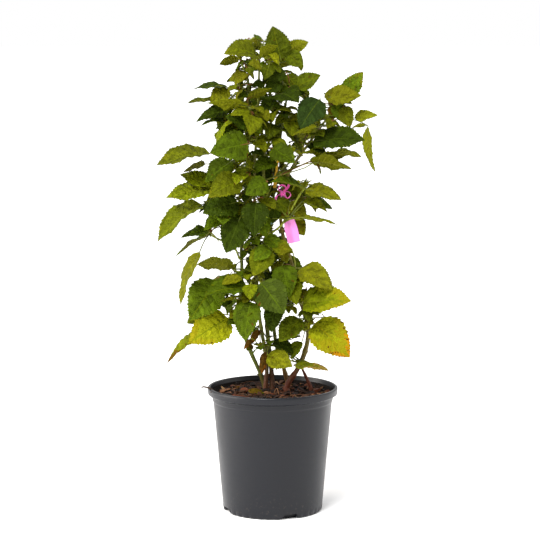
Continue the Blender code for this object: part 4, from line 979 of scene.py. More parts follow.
def piece(name, patches, finishes, slot, nodes, sharp_degrees=50):
    """One object from patches, in place of nodes: their arrays are laid end to end."""
    corners, loops, starts, names, flats = [], [], [], [], []
    first = loop_first = 0
    for part in patches:
        for faces, finish_names in zip(part.faces, part.finishes):
            width = faces.shape[1]
            loops.append((faces + first).ravel())
            starts.append(loop_first + np.arange(len(faces)) * width)
            names.append(finish_names)
            loop_first += faces.size
        corners.append(part.corners)
        if part.places is not None:
            flats += [np.asarray(p).reshape(-1, 2) for p in part.places]
        first += len(part.corners)
    corners, loops, starts = np.vstack(corners), np.concatenate(loops), np.concatenate(starts)
    used, slots = np.unique(np.concatenate(names), return_inverse=True)
    mesh = bpy.data.meshes.new(name)
    mesh.vertices.add(len(corners))
    mesh.vertices.foreach_set("co", corners.ravel())
    mesh.loops.add(len(loops))
    mesh.loops.foreach_set("vertex_index", loops)
    mesh.polygons.add(len(starts))
    mesh.polygons.foreach_set("loop_start", starts)
    for finish_name in used:
        mesh.materials.append(finishes[finish_name])
    mesh.polygons.foreach_set("material_index", slots)
    mesh.update(calc_edges=True)
    mesh.polygons.foreach_set("use_smooth", np.ones(len(starts), bool))
    mesh.set_sharp_from_angle(angle=math.radians(sharp_degrees))
    if flats:
        layer = mesh.uv_layers.new(name="OFBake")
        layer.data.foreach_set("uv", np.vstack(flats).ravel())
    made = bpy.data.objects.new(name, mesh)
    bpy.context.scene.collection.objects.link(made)
    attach(made, "root")
    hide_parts(*nodes)


def grid_quads(rows, columns, closed=False):
    """Corner numbers of the quads of a grid, wound so that rows cross columns points outwards.

    closed joins the last column to the first."""
    index = np.arange(rows * columns).reshape(rows, columns)
    if closed:
        index = np.hstack([index, index[:, :1]])
    return np.stack([index[:-1, :-1], index[1:, :-1], index[1:, 1:], index[:-1, 1:]], -1)


def pole_fans(rows, columns, outwards):
    """Two fans of triangles that close a grid of rings. The poles' numbers follow the grid's own."""
    ring = np.arange(columns)
    after = np.roll(ring, -1)
    count = rows * columns
    last = count - columns
    pair = (ring, after) if outwards else (after, ring)
    return np.vstack([np.stack([*pair, np.full(columns, count)], -1),
                      np.stack([pair[1] + last, pair[0] + last, np.full(columns, count + 1)], -1)])


def shell(top, under, top_names, under_names, rim_name, cell=None):
    """A closed thin shell between two grids of points of one size: two sides, and a rim round their border.

    cell is (x, y, size) of the shell's two squares on the flat."""
    rows, columns = top.shape[:2]
    count = rows * columns
    quads = grid_quads(rows, columns).reshape(-1, 4)
    index = np.arange(count).reshape(rows, columns)
    border = np.concatenate([index[0, :-1], index[:-1, -1], index[-1, :0:-1], index[:0:-1, 0]])
    after = np.roll(border, -1)
    rim = np.stack([border, after, after + count, border + count], -1)
    faces = [quads, quads[:, ::-1] + count, rim]
    names = [top_names.ravel(), under_names.ravel(), np.full(len(rim), rim_name, dtype="U24")]
    places = None
    if cell:
        x, y, size = cell
        t, v = np.meshgrid(np.linspace(0.08, 0.92, rows), np.linspace(0.04, 0.46, columns), indexing="ij")
        flat = np.stack([x + size * v, y + size * t], -1).reshape(-1, 2)
        outer = flat[border] + 0.012 * size * np.sign(flat[border] - flat.mean(0))
        after_outer = np.roll(outer, -1, axis=0)
        other = flat + [0.5 * size, 0.0]
        places = [flat[quads], other[quads[:, ::-1]],
                  np.stack([flat[border], flat[after], after_outer, outer], 1)]
    return patch(np.vstack([top.reshape(-1, 3), under.reshape(-1, 3)]), faces, names, places)


def rings_along(path):
    """(sides, others) at each point of a path: unit vectors square to it, carried along without a twist."""
    tangents = np.gradient(path, axis=0)
    tangents /= np.linalg.norm(tangents, axis=1)[:, None]
    side = across(tangents[0], SLANTED)
    sides = []
    for tangent in tangents:
        side = across(tangent, side)
        sides.append(side)
    sides = np.array(sides)
    return sides, np.cross(tangents, sides)


def round_skin(path, radii, sides, finish_name):
    """A closed tube: at each path point a ring of radius radii, one number a point or one for each side.

    Both ends close in a low cone to a pole."""
    path = np.asarray(path, float)
    radii = np.asarray(radii, float)
    if radii.ndim == 1:
        radii = np.repeat(radii[:, None], sides, 1)
    a, b = rings_along(path)
    angles = round_angles(sides)
    rings = (path[:, None] + radii[..., None] * (np.cos(angles)[None, :, None] * a[:, None]
                                                 + np.sin(angles)[None, :, None] * b[:, None]))
    ends = np.array([path[0] - unit(path[1] - path[0]) * radii[0].mean() * 0.3,
                     path[-1] + unit(path[-1] - path[-2]) * radii[-1].mean() * 0.3])
    quads = grid_quads(len(path), sides, closed=True).reshape(-1, 4)[:, ::-1]
    caps = pole_fans(len(path), sides, False)
    return patch(np.vstack([rings.reshape(-1, 3), ends]), [quads, caps], finish_name)


# ---------------------------------------------------------------- a leaf blade
# A leaf's colours: its blade, its midrib, what its margin turns to and how far in, its underside, the ribs
# there, the share of it that is freckled, and how far it curls.
Tint = namedtuple("Tint", "blade vein turned reach under rib spots curl",
                  defaults=("under", "vein_pale", 0.0, 0.0))
TINTS = {
    "deep": Tint("deep", "dark", "dark", 0.1),
    "dark": Tint("dark", "vein_dark", "mid_deep", 0.1),
    "blue_dark": Tint("blue_dark", "mid", "mid_deep", 0.08, spots=0.004),
    "teal": Tint("teal", "vein_dark", "dark", 0.05),
    "mid_deep": Tint("mid_deep", "mid", "mid", 0.15, spots=0.002),
    "mid": Tint("mid", "fresh", "mid_olive", 0.12),
    "mid_olive": Tint("mid_olive", "fresh", "olive", 0.2, "pale_olive", spots=0.004),
    "olive": Tint("olive", "olive_light", "mid_olive", 0.2, "lime", spots=0.003, curl=0.1),
    "deep_olive": Tint("deep_olive", "mid_olive", "olive", 0.08, "pale_olive", spots=0.01),
    "olive_light": Tint("olive_light", "vein_fresh", "olive", 0.2, "lime", spots=0.003, curl=0.1),
    "fresh": Tint("fresh", "vein_fresh", "olive_light", 0.15, "lime", curl=0.1),
    "yellow_green": Tint("yellow_green", "vein_pale", "fresh", 0.25, "lime", spots=0.003),
    "lime": Tint("fresh", "vein_fresh", "yellow_green", 0.1, "lime", curl=0.3),
    "lime_top": Tint("lime", "vein_pale", "olive", 0.1, "lime", spots=0.004, curl=0.2),
    "pale": Tint("mid", "fresh", "mid", 0.0, "pale"),
    "pale_olive": Tint("mid", "fresh", "mid", 0.0, "pale_olive", curl=0.1),
    "bronze": Tint("bronze", "olive", "deep_olive", 0.4, "bronze", "olive", 0.05, 0.4),
    "turning": Tint("yellow_green", "fresh", "yellow", 0.38, "yellow", spots=0.012),
    "gold": Tint("yellow_green", "yellow", "gold", 0.24, "yellow", spots=0.034),
    "tip_turning": Tint("fresh", "vein_fresh", "yellow", 0.34, "lime", spots=0.010),
    "brown_tip": Tint("mid", "fresh", "brown", 0.14, "lime", spots=0.012),
    "tan_tip": Tint("fresh", "vein_fresh", "tan", 0.55, "lime", spots=0.03, curl=0.1),
    "curled": Tint("mid_olive", "fresh", "bronze", 0.38, "pale_olive", spots=0.02, curl=0.9),
    "withered": Tint("brown", "bronze", "rust", 0.4, "tan", "brown", 0.0, 1.0),
}
# What a leaf passes through on its way from green to its turned colour.
BETWEEN = {"gold": ("yellow", 0.34), "yellow": ("yellow_green", 0.2), "brown": ("olive", 0.12),
           "tan": ("olive_light", 0.14), "bronze": ("mid_olive", 0.14)}
RULE_TINTS = ("mid_deep", "fresh", "dark", "mid_olive", "mid", "deep_olive", "fresh", "mid_deep")
# SHADED_TINTS deal mostly dark tints to the rule's leaves on the front masses: painted shade for the crown's
# interior.
SHADED_TINTS = ("mid_deep", "dark", "mid", "deep_olive", "mid_olive", "fresh", "dark")


def mirrored(*half):
    """A blade's columns from edge to edge, from those of its right half."""
    return np.array([*(-v for v in reversed(half)), *half])


COLUMNS = mirrored(0.035, 0.22, 0.48, 0.78, 1.0)
MANY_COLUMNS = mirrored(0.03, 0.12, 0.23, 0.35, 0.47, 0.59, 0.71, 0.82, 0.92, 1.0)
FEW_COLUMNS = mirrored(0.04, 0.35, 0.70, 1.0)
TINY_COLUMNS = mirrored(0.05, 0.55, 1.0)
VEIN_PAIRS = 8
SWEEP = 0.85
LEAF_THICK = 0.00034
TOOTH_SHARE = 0.020
TOOTH_LEAST = 0.0003
CRUMPLE = 0.06
PLEAT_SHARE, WAVE_SHARE = 0.070, 0.075
MIDRIB_DEPTH, RIB_DEPTH = 0.0007, 0.00022
DARKER_LEAVES = 0.4


def leaf_rows(pairs):
    """(place, slip, tooth) of each row of a blade's grid, from base to tip.

    Each vein pair has two rows that bound the vein, slip to either side of it, and three more to the next
    pair. tooth is how far the margin stands out there, from -1 to 1."""
    step = 1.0 / pairs
    at = (np.arange(pairs) + 0.22)[:, None] * step
    place = at + np.array([0.0, 0.0, 0.29, 0.50, 0.71]) * step
    slip = np.broadcast_to(np.array([-0.075, 0.075, 0.0, 0.0, 0.0]) * step, place.shape)
    tooth = np.broadcast_to(np.array([0.35, 1.0, -0.8, 0.45, -0.9]), place.shape)
    return tuple(np.concatenate([[first], grid.ravel(), [last]])
                 for grid, first, last in ((place, 0.0, 1.0), (slip, 0.0, 0.0), (tooth, 0.0, 0.0)))


def leaf_outline(u, point):
    """The share of a blade's half-width at u: u^0.55 (1 - u)^point over its peak. A low point is blunt."""
    peak = 0.55 / (0.55 + point)
    return u**0.55 * (1.0 - u) ** point / (peak**0.55 * (1.0 - peak) ** point)


def blade_colours(tint, u, columns, shade, phase):
    """(upper, lower): the finish of each face of a blade's two sides.

    drift is a sum of slow waves, and where it is high or low the blade is a shade off its own colour. The
    tip and margin turn first. Freckles lie where two quick waves meet, more of them near a turned margin."""
    centre_u = 0.25 * (u[:-1, :-1] + u[1:, :-1] + u[:-1, 1:] + u[1:, 1:])
    centre_v = np.broadcast_to(0.5 * (columns[:-1] + columns[1:])[None, :], centre_u.shape)
    drift = (np.sin(7.0 * centre_u + 5.0 * centre_v + phase[2])
             + np.sin(17.0 * centre_u - 8.0 * centre_v + phase[3])
             + 0.7 * np.sin(31.0 * centre_u + 23.0 * centre_v + phase[0]))
    speck = (np.sin(61.0 * centre_u + 13.0 * centre_v + phase[1])
             * np.sin(37.0 * centre_v - 29.0 * centre_u + phase[2]))
    vein = np.zeros(centre_u.shape, bool)
    vein[1:-1:5] = True
    vein &= np.abs(centre_v) < 0.85
    midrib = np.zeros(centre_u.shape, bool)
    midrib[:, len(columns) // 2 - 1] = True
    outward = 0.72 * centre_u + 0.28 * np.abs(centre_v)
    turned_here = (outward + 0.05 * drift > 1.0 - tint.reach) & (tint.reach > 0)
    upper = np.full(centre_u.shape, tint.blade + shade, dtype="U24")
    upper[drift > 0.75] = tint.blade + ("" if shade else "_shade")
    upper[drift < -1.05] = tint.blade + ("_shade" if shade else "_light")
    upper[turned_here] = tint.turned
    if tint.turned in BETWEEN:
        stage, width = BETWEEN[tint.turned]
        partly = outward + 0.07 * drift > 1.0 - width - tint.reach
        upper[partly & ~turned_here] = stage
    upper[vein & ~turned_here] = tint.blade + ("" if shade else "_light")
    upper[midrib] = tint.vein
    lower = np.full(centre_u.shape, tint.under + shade, dtype="U24")
    lower[vein | midrib] = tint.rib
    if tint.spots:
        near_margin = 0.5 * (centre_u + np.abs(centre_v)) if tint.reach > 0.2 else 0.0
        freckle = speck * (0.75 + 0.12 * drift) + near_margin
        spotted = freckle > np.quantile(freckle, 1.0 - tint.spots)
        upper[spotted] = "brown"
        lower[spotted] = "bronze"
    return upper, lower


def blade_skin(blade, columns, pairs, rng, cell):
    """A leaf blade as a thin shell over a grid of rows swept along its veins and columns across it.

    A row at place s lies at u = s + SWEEP |v| s (1 - s) along the midrib, so its ends reach further forward.
    The point at (u, v) stands half(u) v to the side of a midrib that bends on an arc. It is lifted by the
    fold of the halves, by pleats |sin| between the veins, and by slow waves along the margin, and it drops
    with v squared where the leaf curls. The underside is the upper side moved along its normal, more along
    the veins, where the ribs stand out."""
    tint = TINTS[blade.tint]
    place, slip, tooth = (a[:, None] for a in leaf_rows(pairs))
    v = columns[None, :]
    far = np.abs(v)
    edge = far == 1.0
    s = place + slip * (1.0 - 0.7 * far)
    u = np.clip(s + SWEEP * far * s * (1.0 - s) + 0.006 * tooth * edge, 0.0, 1.0)
    half = 0.5 * blade.width * leaf_outline(u, rng.uniform(0.90, 1.15)) + 0.0004
    tooth_reach = TOOTH_LEAST + TOOTH_SHARE * blade.length
    narrowing = np.clip(half / (0.12 * blade.width), 0.0, 1.0)
    out = half * v + tooth_reach * tooth * edge * np.sign(v) * narrowing

    arch, fold = math.radians(blade.arch), math.radians(blade.fold)
    angle = arch * u
    ahead = blade.length * np.sin(angle) / arch
    down = blade.length * (1.0 - np.cos(angle)) / arch
    lift = blade.face * np.cos(angle)[..., None] + blade.along * np.sin(angle)[..., None]
    side = np.cross(blade.face, blade.along)

    pleat = np.abs(np.sin(math.pi * pairs * (place - 0.22 / pairs))) ** 0.7
    pleat = PLEAT_SHARE * half * pleat * np.clip(far / 0.25, 0.0, 1.0) * (1.0 - 0.35 * far)
    phase = [rng.uniform(0, 2 * math.pi) for _ in range(4)]
    wave = WAVE_SHARE * half * far**2 * (np.sin(8.0 * u + phase[0] + 1.3 * np.sign(v)) * rng.uniform(0.4, 1.6)
                                        + 0.6 * np.sin(17.0 * u + phase[1] + 2.0 * np.sign(v)))
    wave += CRUMPLE * half * np.sin(5.0 * u + 2.5 * v + phase[2]) * np.sin(3.0 * v - 4.0 * u + phase[3])
    curl = tint.curl * rng.uniform(0.7, 1.2) + rng.uniform(-0.05, 0.16)
    roll = curl * 1.5 * v
    flat = np.abs(roll) <= 1e-6
    bend = np.where(flat, 1.0, roll)
    spread = out * np.where(flat, 1.0, np.sin(bend) / bend)
    drop = half * np.abs(v) * np.where(flat, 0.0, (1 - np.cos(bend)) / bend)
    raised = np.abs(out) * math.sin(fold) + pleat + wave - drop * np.sign(v)
    twist = math.radians(rng.uniform(-10, 10)) * u
    bow = rng.uniform(-0.035, 0.035) * blade.length * u**2
    sideways = spread * math.cos(fold) * np.cos(twist) + raised * np.sin(twist) + bow
    raised = raised * np.cos(twist) - spread * math.cos(fold) * np.sin(twist)
    middle = (blade.base + blade.along * ahead[..., None] - blade.face * down[..., None]
              + side * sideways[..., None] + lift * raised[..., None])

    down_rows, over_columns = np.gradient(middle, axis=0), np.gradient(middle, axis=1)
    normal = np.cross(down_rows, over_columns)
    normal /= np.linalg.norm(normal, axis=-1)[..., None]
    rib = MIDRIB_DEPTH * (1.0 - u) ** 0.8 * np.exp(-(v / 0.05) ** 2) + RIB_DEPTH * (slip != 0) * (1.0 - far)
    top = middle + 0.5 * LEAF_THICK * normal
    under = middle - (0.5 * LEAF_THICK + rib)[..., None] * normal

    shade = "_shade" if rng.random() < DARKER_LEAVES else ""
    upper, lower = blade_colours(tint, u, columns, shade, phase)
    return shell(top, under, upper, lower, tint.blade + shade, cell)


def midrib_path(blade, reach):
    """A few points under the first part of a blade's midrib, for the end of its stalk."""
    u = np.linspace(0.0, reach, 3)
    angle = math.radians(blade.arch) * u
    arch = math.radians(blade.arch)
    return (blade.base + blade.along * (blade.length * np.sin(angle) / arch)[:, None]
            - blade.face * (blade.length * (1 - np.cos(angle)) / arch + 0.0004)[:, None])


# ---------------------------------------------------------------- foliage
def leaf_stalks(leaf):
    """A leaf's stalks: the main one runs on under its first midrib, and each side blade has its own."""
    found = []
    for k, blade in enumerate(leaf.blades):
        rib = midrib_path(blade, 0.22)
        if k == 0:
            start = leaf.stalk[0] - unit(leaf.stalk[1] - leaf.stalk[0]) * 0.0012
            path = smooth_path(np.vstack([start, leaf.stalk[1:], rib]), 12)
            radii = np.interp(np.linspace(0, 1, 12), [0.0, 0.10, 0.75, 1.0], [0.0015, 0.0010, 0.0008, 0.0004])
        else:
            path = smooth_path(np.vstack([leaf.stalk[-1], rib]), 6)
            radii = np.linspace(0.0008, 0.0004, 6)
        found.append((path, radii))
    return found


YOUNG_LEAVES = 6
YOUNG_TINTS = ("fresh", "lime", "mid_olive", "mid", "deep_olive")


def young_leaves(name, stem):
    """Blades of the folded young leaves at a shoot's tip, a golden angle apart."""
    rng = random.Random(f"{SEED}/{name}/young")
    way = unit(stem[-1] - stem[0])
    found = []
    for k in range(YOUNG_LEAVES):
        along = unit(heading(rng.uniform(0, 360), rng.uniform(10, 70)) + 0.6 * way)
        face = across(along, UP + 0.01 * FRONT)
        length = rng.uniform(0.007, 0.018)
        found.append(Blade(stem[-1] - way * 0.001 * k, along, face, length, 0.5 * length, rng.uniform(10, 40),
                           rng.uniform(30, 50), rng.choice(YOUNG_TINTS)))
    return found


# Leaves that fill a mass out where it is thickest. hub is where the stalk ends, in mm to the right, back and
# up from the middle of the pot's foot, and the blades are as in the plan.
Spray = namedtuple("Spray", "shoot hub arch blades")
SPRAYS = (
    Spray("right_level", (4, -11, 549), 25, ((36, 352, 36, 60, "deep_olive"),)),
    Spray("right_level", (34, -12, 539), 30, ((34, 188, 36, 60, "bronze"),)),
    Spray("right_level", (30, -12, 544), 25, ((38, 350, 44, 56, "olive"),)),
    Spray("right_level", (3, -13, 538), 30, ((30, 262, 62, 20, "dark"),)),
    Spray("right_level", (8, -13, 517), 20, ((44, 356, 4, -14, "pale_olive"),)),
    Spray("right_level", (60, -16, 548), 25, ((44, 350, 18, 30, "mid"),)),
    Spray("right_lime", (92, -22, 632), 30, ((46, 196, 2, -24, "lime"),)),
    Spray("right_lime", (108, -20, 634), 30, ((44, 356, 12, -26, "lime"),)),
    Spray("right_tip", (88, -16, 734), 25, ((50, 352, 22, 42, "olive"),)),
    Spray("right_tip", (106, -16, 717), 25, ((38, 330, 60, 45, "mid"),)),
    Spray("right_tip", (103, -8, 712), 30, ((26, 260, 70, 30, "bronze"),)),
    Spray("front_middle", (-5, -46, 471), 25, ((36, 205, 38, 55, "mid"),)),
    Spray("front_middle", (-1, -42, 474), 25, ((38, 345, 20, 48, "mid_olive"),)),
    Spray("upper_left_high", (-42, -14, 767), 25, ((34, 195, 22, 45, "olive"),)),
    # The leaves below are set behind their masses and take dark tints: painted shade that fills gaps in the
    # crown's interior.
    Spray("front_dark", (0, 16, 590), 25, ((44, 200, 30, 45, "dark"),)),
    Spray("front_dark", (18, 18, 572), 25, ((40, 340, 40, 45, "deep_olive"),)),
    Spray("front_middle", (14, 10, 420), 25, ((46, 215, 50, 45, "dark"),)),
    Spray("front_middle", (24, 12, 446), 25, ((40, 330, 50, 45, "mid_deep"),)),
    Spray("top_upright", (10, 16, 775), 25, ((38, 205, 40, 45, "dark"),)),
    Spray("top_upright", (22, 14, 765), 25, ((36, 335, 45, 45, "deep_olive"),)),
)


def add_sprays(grown):
    """Hangs each leaf of SPRAYS on its mass's stem."""
    for k, spray in enumerate(SPRAYS):
        stem, leaves = grown[spray.shoot]
        way = unit(stem[-1] - stem[0])
        rng = random.Random(f"{SEED}/spray/{k}")
        leaves.append(placed_leaf(stem[-1] - 0.001 * way, way, np.array(spray.hub) * MM, spray.blades,
                                  spray.arch, rng))


# Leaves of the plan that hang a little otherwise than the rule has them: which leaf of which mass, how far it
# moves in mm to the right, back and up, the share of its width that it keeps, and its tint.
Change = namedtuple("Change", "shoot leaf move width tint")
CHANGES = (
    Change("right_level", 2, (7, 58, 3), 1.0, "olive"),
    Change("right_hanging", 0, (0, 0, 0), 0.55, "olive"),
    Change("left_pale", 2, (0, 0, 0), 0.85, "olive_light"),
    Change("front_low_dark", 0, (-11, 0, 0), 1.1, "blue_dark"),
    Change("front_low_green", 0, (6, 0, 0), 1.0, "mid_deep"),
    Change("foot_yellow", 0, (-2, 0, -9), 1.0, "olive_light"),
)


def change_leaves(grown):
    """Moves or narrows the leaves of CHANGES: one hangs behind the marker tape, and two have rolled up."""
    for change in CHANGES:
        leaves = grown[change.shoot][1]
        leaf = leaves[change.leaf]
        shift = np.array(change.move) * MM
        stalk = leaf.stalk + np.linspace(0.0, 1.0, len(leaf.stalk))[:, None] * shift
        blades = [b._replace(base=b.base + shift, width=b.width * change.width, tint=change.tint)
                  for b in leaf.blades]
        leaves[change.leaf] = leaf._replace(stalk=stalk, blades=blades)


FINE_LEAVES = 5
FINE_TRIES = 14
# The fine leaves fill the crown's interior, so their tints lean dark: painted shade.
FINE_TINTS = ("mid_deep", "olive", "dark", "mid_olive", "mid", "fresh", "deep_olive")


def finer_leaves(name, stem, leaves, crowd):
    """More leaves of the rule on a stem, small ones that fill in between the larger."""
    stem_way = unit(stem[-1] - stem[0])
    for k in range(FINE_LEAVES):
        seed = f"{SEED}/{name}/fine/{k}"
        rng = random.Random(seed)
        root = stem[0] + (stem[-1] - stem[0]) * rng.uniform(0.3, 0.95)
        tint = rng.choice(FINE_TINTS)

        def tries():
            for attempt in range(FINE_TRIES):
                rng = random.Random(f"{seed}/{attempt}")
                yield free_leaf(root, stem_way, rng.uniform(0, 360), rng.uniform(-10, 60),
                                rng.uniform(0.012, 0.045), rng.uniform(0.020, 0.036), rng.uniform(0, 60),
                                rng.uniform(20, 50), tint, rng)

        leaf = best_of(tries(), 2, crowd, name, bounded=True)
        if leaf:
            settle(crowd, name, leaf)
            leaves.append(leaf)


TUFT_STEP = 0.031
TUFT_FROM = 0.46
TUFT_RADIUS = 0.0010
TUFT_LEAVES = 4
# The tufts stand in the crown's interior, so their tints lean dark: painted shade.
TUFT_TINTS = ("dark", "mid_deep", "deep_olive", "mid", "olive_light", "mid_olive", "deep", "fresh")


def grow_tufts(shapes, crowd):
    """{name: (stem, leaves)} of the short leafy shoots that a cane bears at its upper nodes."""
    found = {}
    for order, cane in enumerate(name for name in shapes if name.startswith("cane")):
        heights = np.arange(TUFT_FROM + 0.006 * order, shapes[cane][0][:, 2].max() - 0.01, TUFT_STEP)
        for k, z in enumerate(heights):
            name = f"{cane}_tuft_{k}"
            rng = random.Random(f"{SEED}/{name}")
            bearing = GOLDEN_ANGLE * k + 70 * order + rng.uniform(-25, 25)
            start, way = stem_start(shapes[cane], z / MM, heading(bearing, rng.uniform(20, 60)), TUFT_RADIUS)
            stem = sagging(start, way, rng.uniform(0.006, 0.018), 0.05, 3)
            if crowd.meets(*roomy_tube(stem[1:], TUFT_RADIUS), besides=(cane,)):
                continue
            crowd.add(name + "_stem", *tube(stem, TUFT_RADIUS, TWIG_SIDES))
            leaves = []
            for j in range(TUFT_LEAVES):
                tint = rng.choice(TUFT_TINTS)

                def tries():
                    for attempt in range(FINE_TRIES):
                        rng = random.Random(f"{SEED}/{name}/{j}/{attempt}")
                        facing = bearing + GOLDEN_ANGLE * j + rng.uniform(-60, 60)
                        yield free_leaf(stem[-1] - way * 0.001 * (1 + j), way, facing, rng.uniform(-10, 50),
                                        rng.uniform(0.008, 0.034), rng.uniform(0.015, 0.030),
                                        rng.uniform(0, 60), rng.uniform(20, 60), tint, rng)

                leaf = best_of(tries(), 3, crowd, name, bounded=True)
                if leaf:
                    settle(crowd, name, leaf)
                    leaves.append(leaf)
            found[name] = (stem, leaves)
    return found


SHOWN_SHARE = 0.33
SHOWN_MARGIN = 0.28
# (lowest and highest x, lowest and highest z, y): in front of these only placed leaves stand.
WINDOWS = ((-0.010, 0.052, 0.552, 0.628, -0.008), (0.012, 0.056, 0.462, 0.512, -0.008),
           (-0.006, 0.060, 0.480, 0.590, -0.024))


def middle_of(blade):
    """(x, height as seen from the front, y) of a blade's middle."""
    x, y, z = blade.base + blade.along * 0.45 * blade.length
    return x, z + SIGHT_RISE * y, y


def leaves_of_the_plan(grown):
    """An array of (x, height as seen, y, reach) of the blades that are placed one by one."""
    return np.array([(*middle_of(blade), SHOWN_SHARE * blade.length) for _, leaves in grown.values()
                     for leaf in leaves if leaf.edge is FINE_EDGE for blade in leaf.blades])


def in_window(blade):
    """True if the middle of a blade is in front of the tie, a tape or the front bough."""
    x, y, z = blade.base + blade.along * 0.5 * blade.length
    return any(left < x < right and low < z < high and y < front for left, right, low, high, front in WINDOWS)


def hides(blade, plan):
    """True if a small blade stands in front of a leaf of the plan, or of a window in the foliage."""
    x, height, y = middle_of(blade)
    near = np.hypot(plan[:, 0] - x, plan[:, 1] - height) < plan[:, 3] + SHOWN_MARGIN * blade.length
    return bool((near & (plan[:, 2] > y - 0.004)).any()) or in_window(blade)


def kept_of(leaves, hidden):
    """The leaves without those blades of the rule that hidden(blade) is true of."""
    found = []
    for leaf in leaves:
        blades = [blade for blade in leaf.blades if leaf.edge is FINE_EDGE or not hidden(blade)]
        if blades:
            found.append(leaf._replace(blades=blades))
    return found


ZONES = {
    "rear_low": ("rear_low", "rear_left", "rear_right"),
    "rear_high": ("rear_",),
    "canes_left": ("cane_left_tuft", "cane_front_tuft"),
    "canes_right": ("cane_middle_tuft", "cane_right_tuft", "cane_back_tuft"),
    "top": ("top_",),
    "upper_left": ("upper_left_",),
    "left_high": ("left_long", "left_fan", "left_front_", "left_pale"),
    "left_low": ("left_level", "left_low_"),
    "front": ("front_",),
    "foot": ("foot_",),
    "right_high": ("right_tip", "right_hanging", "right_teal", "right_broad", "right_lime", "right_tier"),
    "right_low": ("right_level", "right_low_"),
}
SPOTTED_BLADE = 0.05
# (longest blade, columns, vein pairs): a smaller blade has fewer faces.
GRIDS = ((0.016, TINY_COLUMNS, 3), (0.024, FEW_COLUMNS, 4), (0.034, FEW_COLUMNS, 6),
         (1.0, COLUMNS, VEIN_PAIRS))
# The mass in whose room the short shoots of each cane stand.
TUFT_PLACES = {"cane_left": "upper_left_high", "cane_front": "top_left", "cane_middle": "top_upright",
               "cane_right": "right_broad", "cane_back": "rear_high"}


def blade_grid(blade, zone):
    """(columns, vein pairs) of a blade's grid: fine on spotted leaves, coarser on small and rear ones."""
    if blade.length > SPOTTED_BLADE and TINTS[blade.tint].spots >= 0.01:
        return MANY_COLUMNS, VEIN_PAIRS
    columns, pairs = next(grid[1:] for grid in GRIDS if blade.length <= grid[0])
    return (FEW_COLUMNS if zone.startswith("rear") and columns is COLUMNS else columns), pairs


def swelling(run, height, middle, reach):
    """A bell of this height on a stem's radius."""
    return height * np.exp(-((run - middle) / reach) ** 2)


def build_foliage(grown, tufts, finishes, plan):
    """The blades of each zone as one piece, all the stalks as one, and all the shoots' stems as one."""
    masses = {name: "leaves_" + name for name in grown}
    masses.update({name: "leaves_" + TUFT_PLACES[name.split("_tuft")[0]] for name in tufts})
    grown = {**grown, **tufts}
    left = set(grown)
    for zone, starts in ZONES.items():
        names = [name for name in grown if name.startswith(starts) and name in left]
        left -= set(names)
        blades = [blade for name in names for leaf in grown[name][1] for blade in leaf.blades]
        blades += [blade for name in names for blade in young_leaves(name, grown[name][0])
                   if not hides(blade, plan)]
        wide = math.ceil(math.sqrt(len(blades)))
        skins = []
        for k, blade in enumerate(blades):
            rng = random.Random(f"{SEED}/{zone}/blade/{k}")
            cell = (k % wide / wide, k // wide / wide, 1.0 / wide)
            skins.append(blade_skin(blade, *blade_grid(blade, zone), rng, cell))
        piece("leaf_blades_" + zone, skins, finishes, "foliage", sorted({masses[n] for n in names}), 75)
    assert not left, left
    stalks, stems = [], []
    for name, (stem, leaves) in grown.items():
        rng = random.Random(f"{SEED}/{name}/skins")
        for leaf in leaves:
            skin_name = rng.choice(("stalk", "stalk", "stalk_dark", "stalk_lime", "stalk_red"))
            stalks += [round_skin(path, radii, 6, skin_name) for path, radii in leaf_stalks(leaf)]
        way = unit(stem[1] - stem[0])
        path = smooth_path(np.vstack([stem[0] - way * 0.0030, stem]), 16)
        run = np.linspace(0.0, 1.0, 16)
        thick = TUFT_RADIUS / STEM_RADIUS if name in tufts else 1.0
        radii = 0.0019 - 0.0005 * run + swelling(run, 0.0006, 0.04, 0.08)
        radii = radii + swelling(run, 0.0004, 0.62, 0.05) + swelling(run, 0.0004, 0.9, 0.05)
        stems.append(round_skin(path, thick * radii, 10, rng.choice(("stalk", "stalk_dark", "stalk_brown"))))
        bud = stem[-1] + np.outer([-0.001, 0.0012, 0.003, 0.0045], unit(stem[-1] - stem[-2]))
        stems.append(round_skin(bud, thick * np.array([0.0016, 0.0020, 0.0013, 0.0003]), 8, "bud"))
    piece("leaf_stalks", stalks, finishes, "foliage", sorted(set(masses.values())))
    piece("shoot_stems", stems, finishes, "foliage", sorted(set(masses.values())))


# ---------------------------------------------------------------- canes
CANE_RING_STEP = 0.0028
CANE_SIDES = 15
CANE_RIDGES = 5
FOOT_RIDGES = 6
CANE_SUNK = 0.006
BOUGH_SUNK = 0.003
NODE_STEP = 0.043
FOOT_SPLIT_RUN = 0.022
RIDGE_SHARE, FOOT_RIDGE_SHARE = 0.07, 0.16
NODE_SWELLING, NODE_REACH, MOST_SWOLLEN = 0.20, 0.0035, 1.32
# (share of the radius, run in metres, turns round the cane) of each wave of the bark's unevenness.
BARK_WAVES = ((0.030, 0.011, 2), (0.025, 0.0045, 3), (0.020, 0.0019, 1))


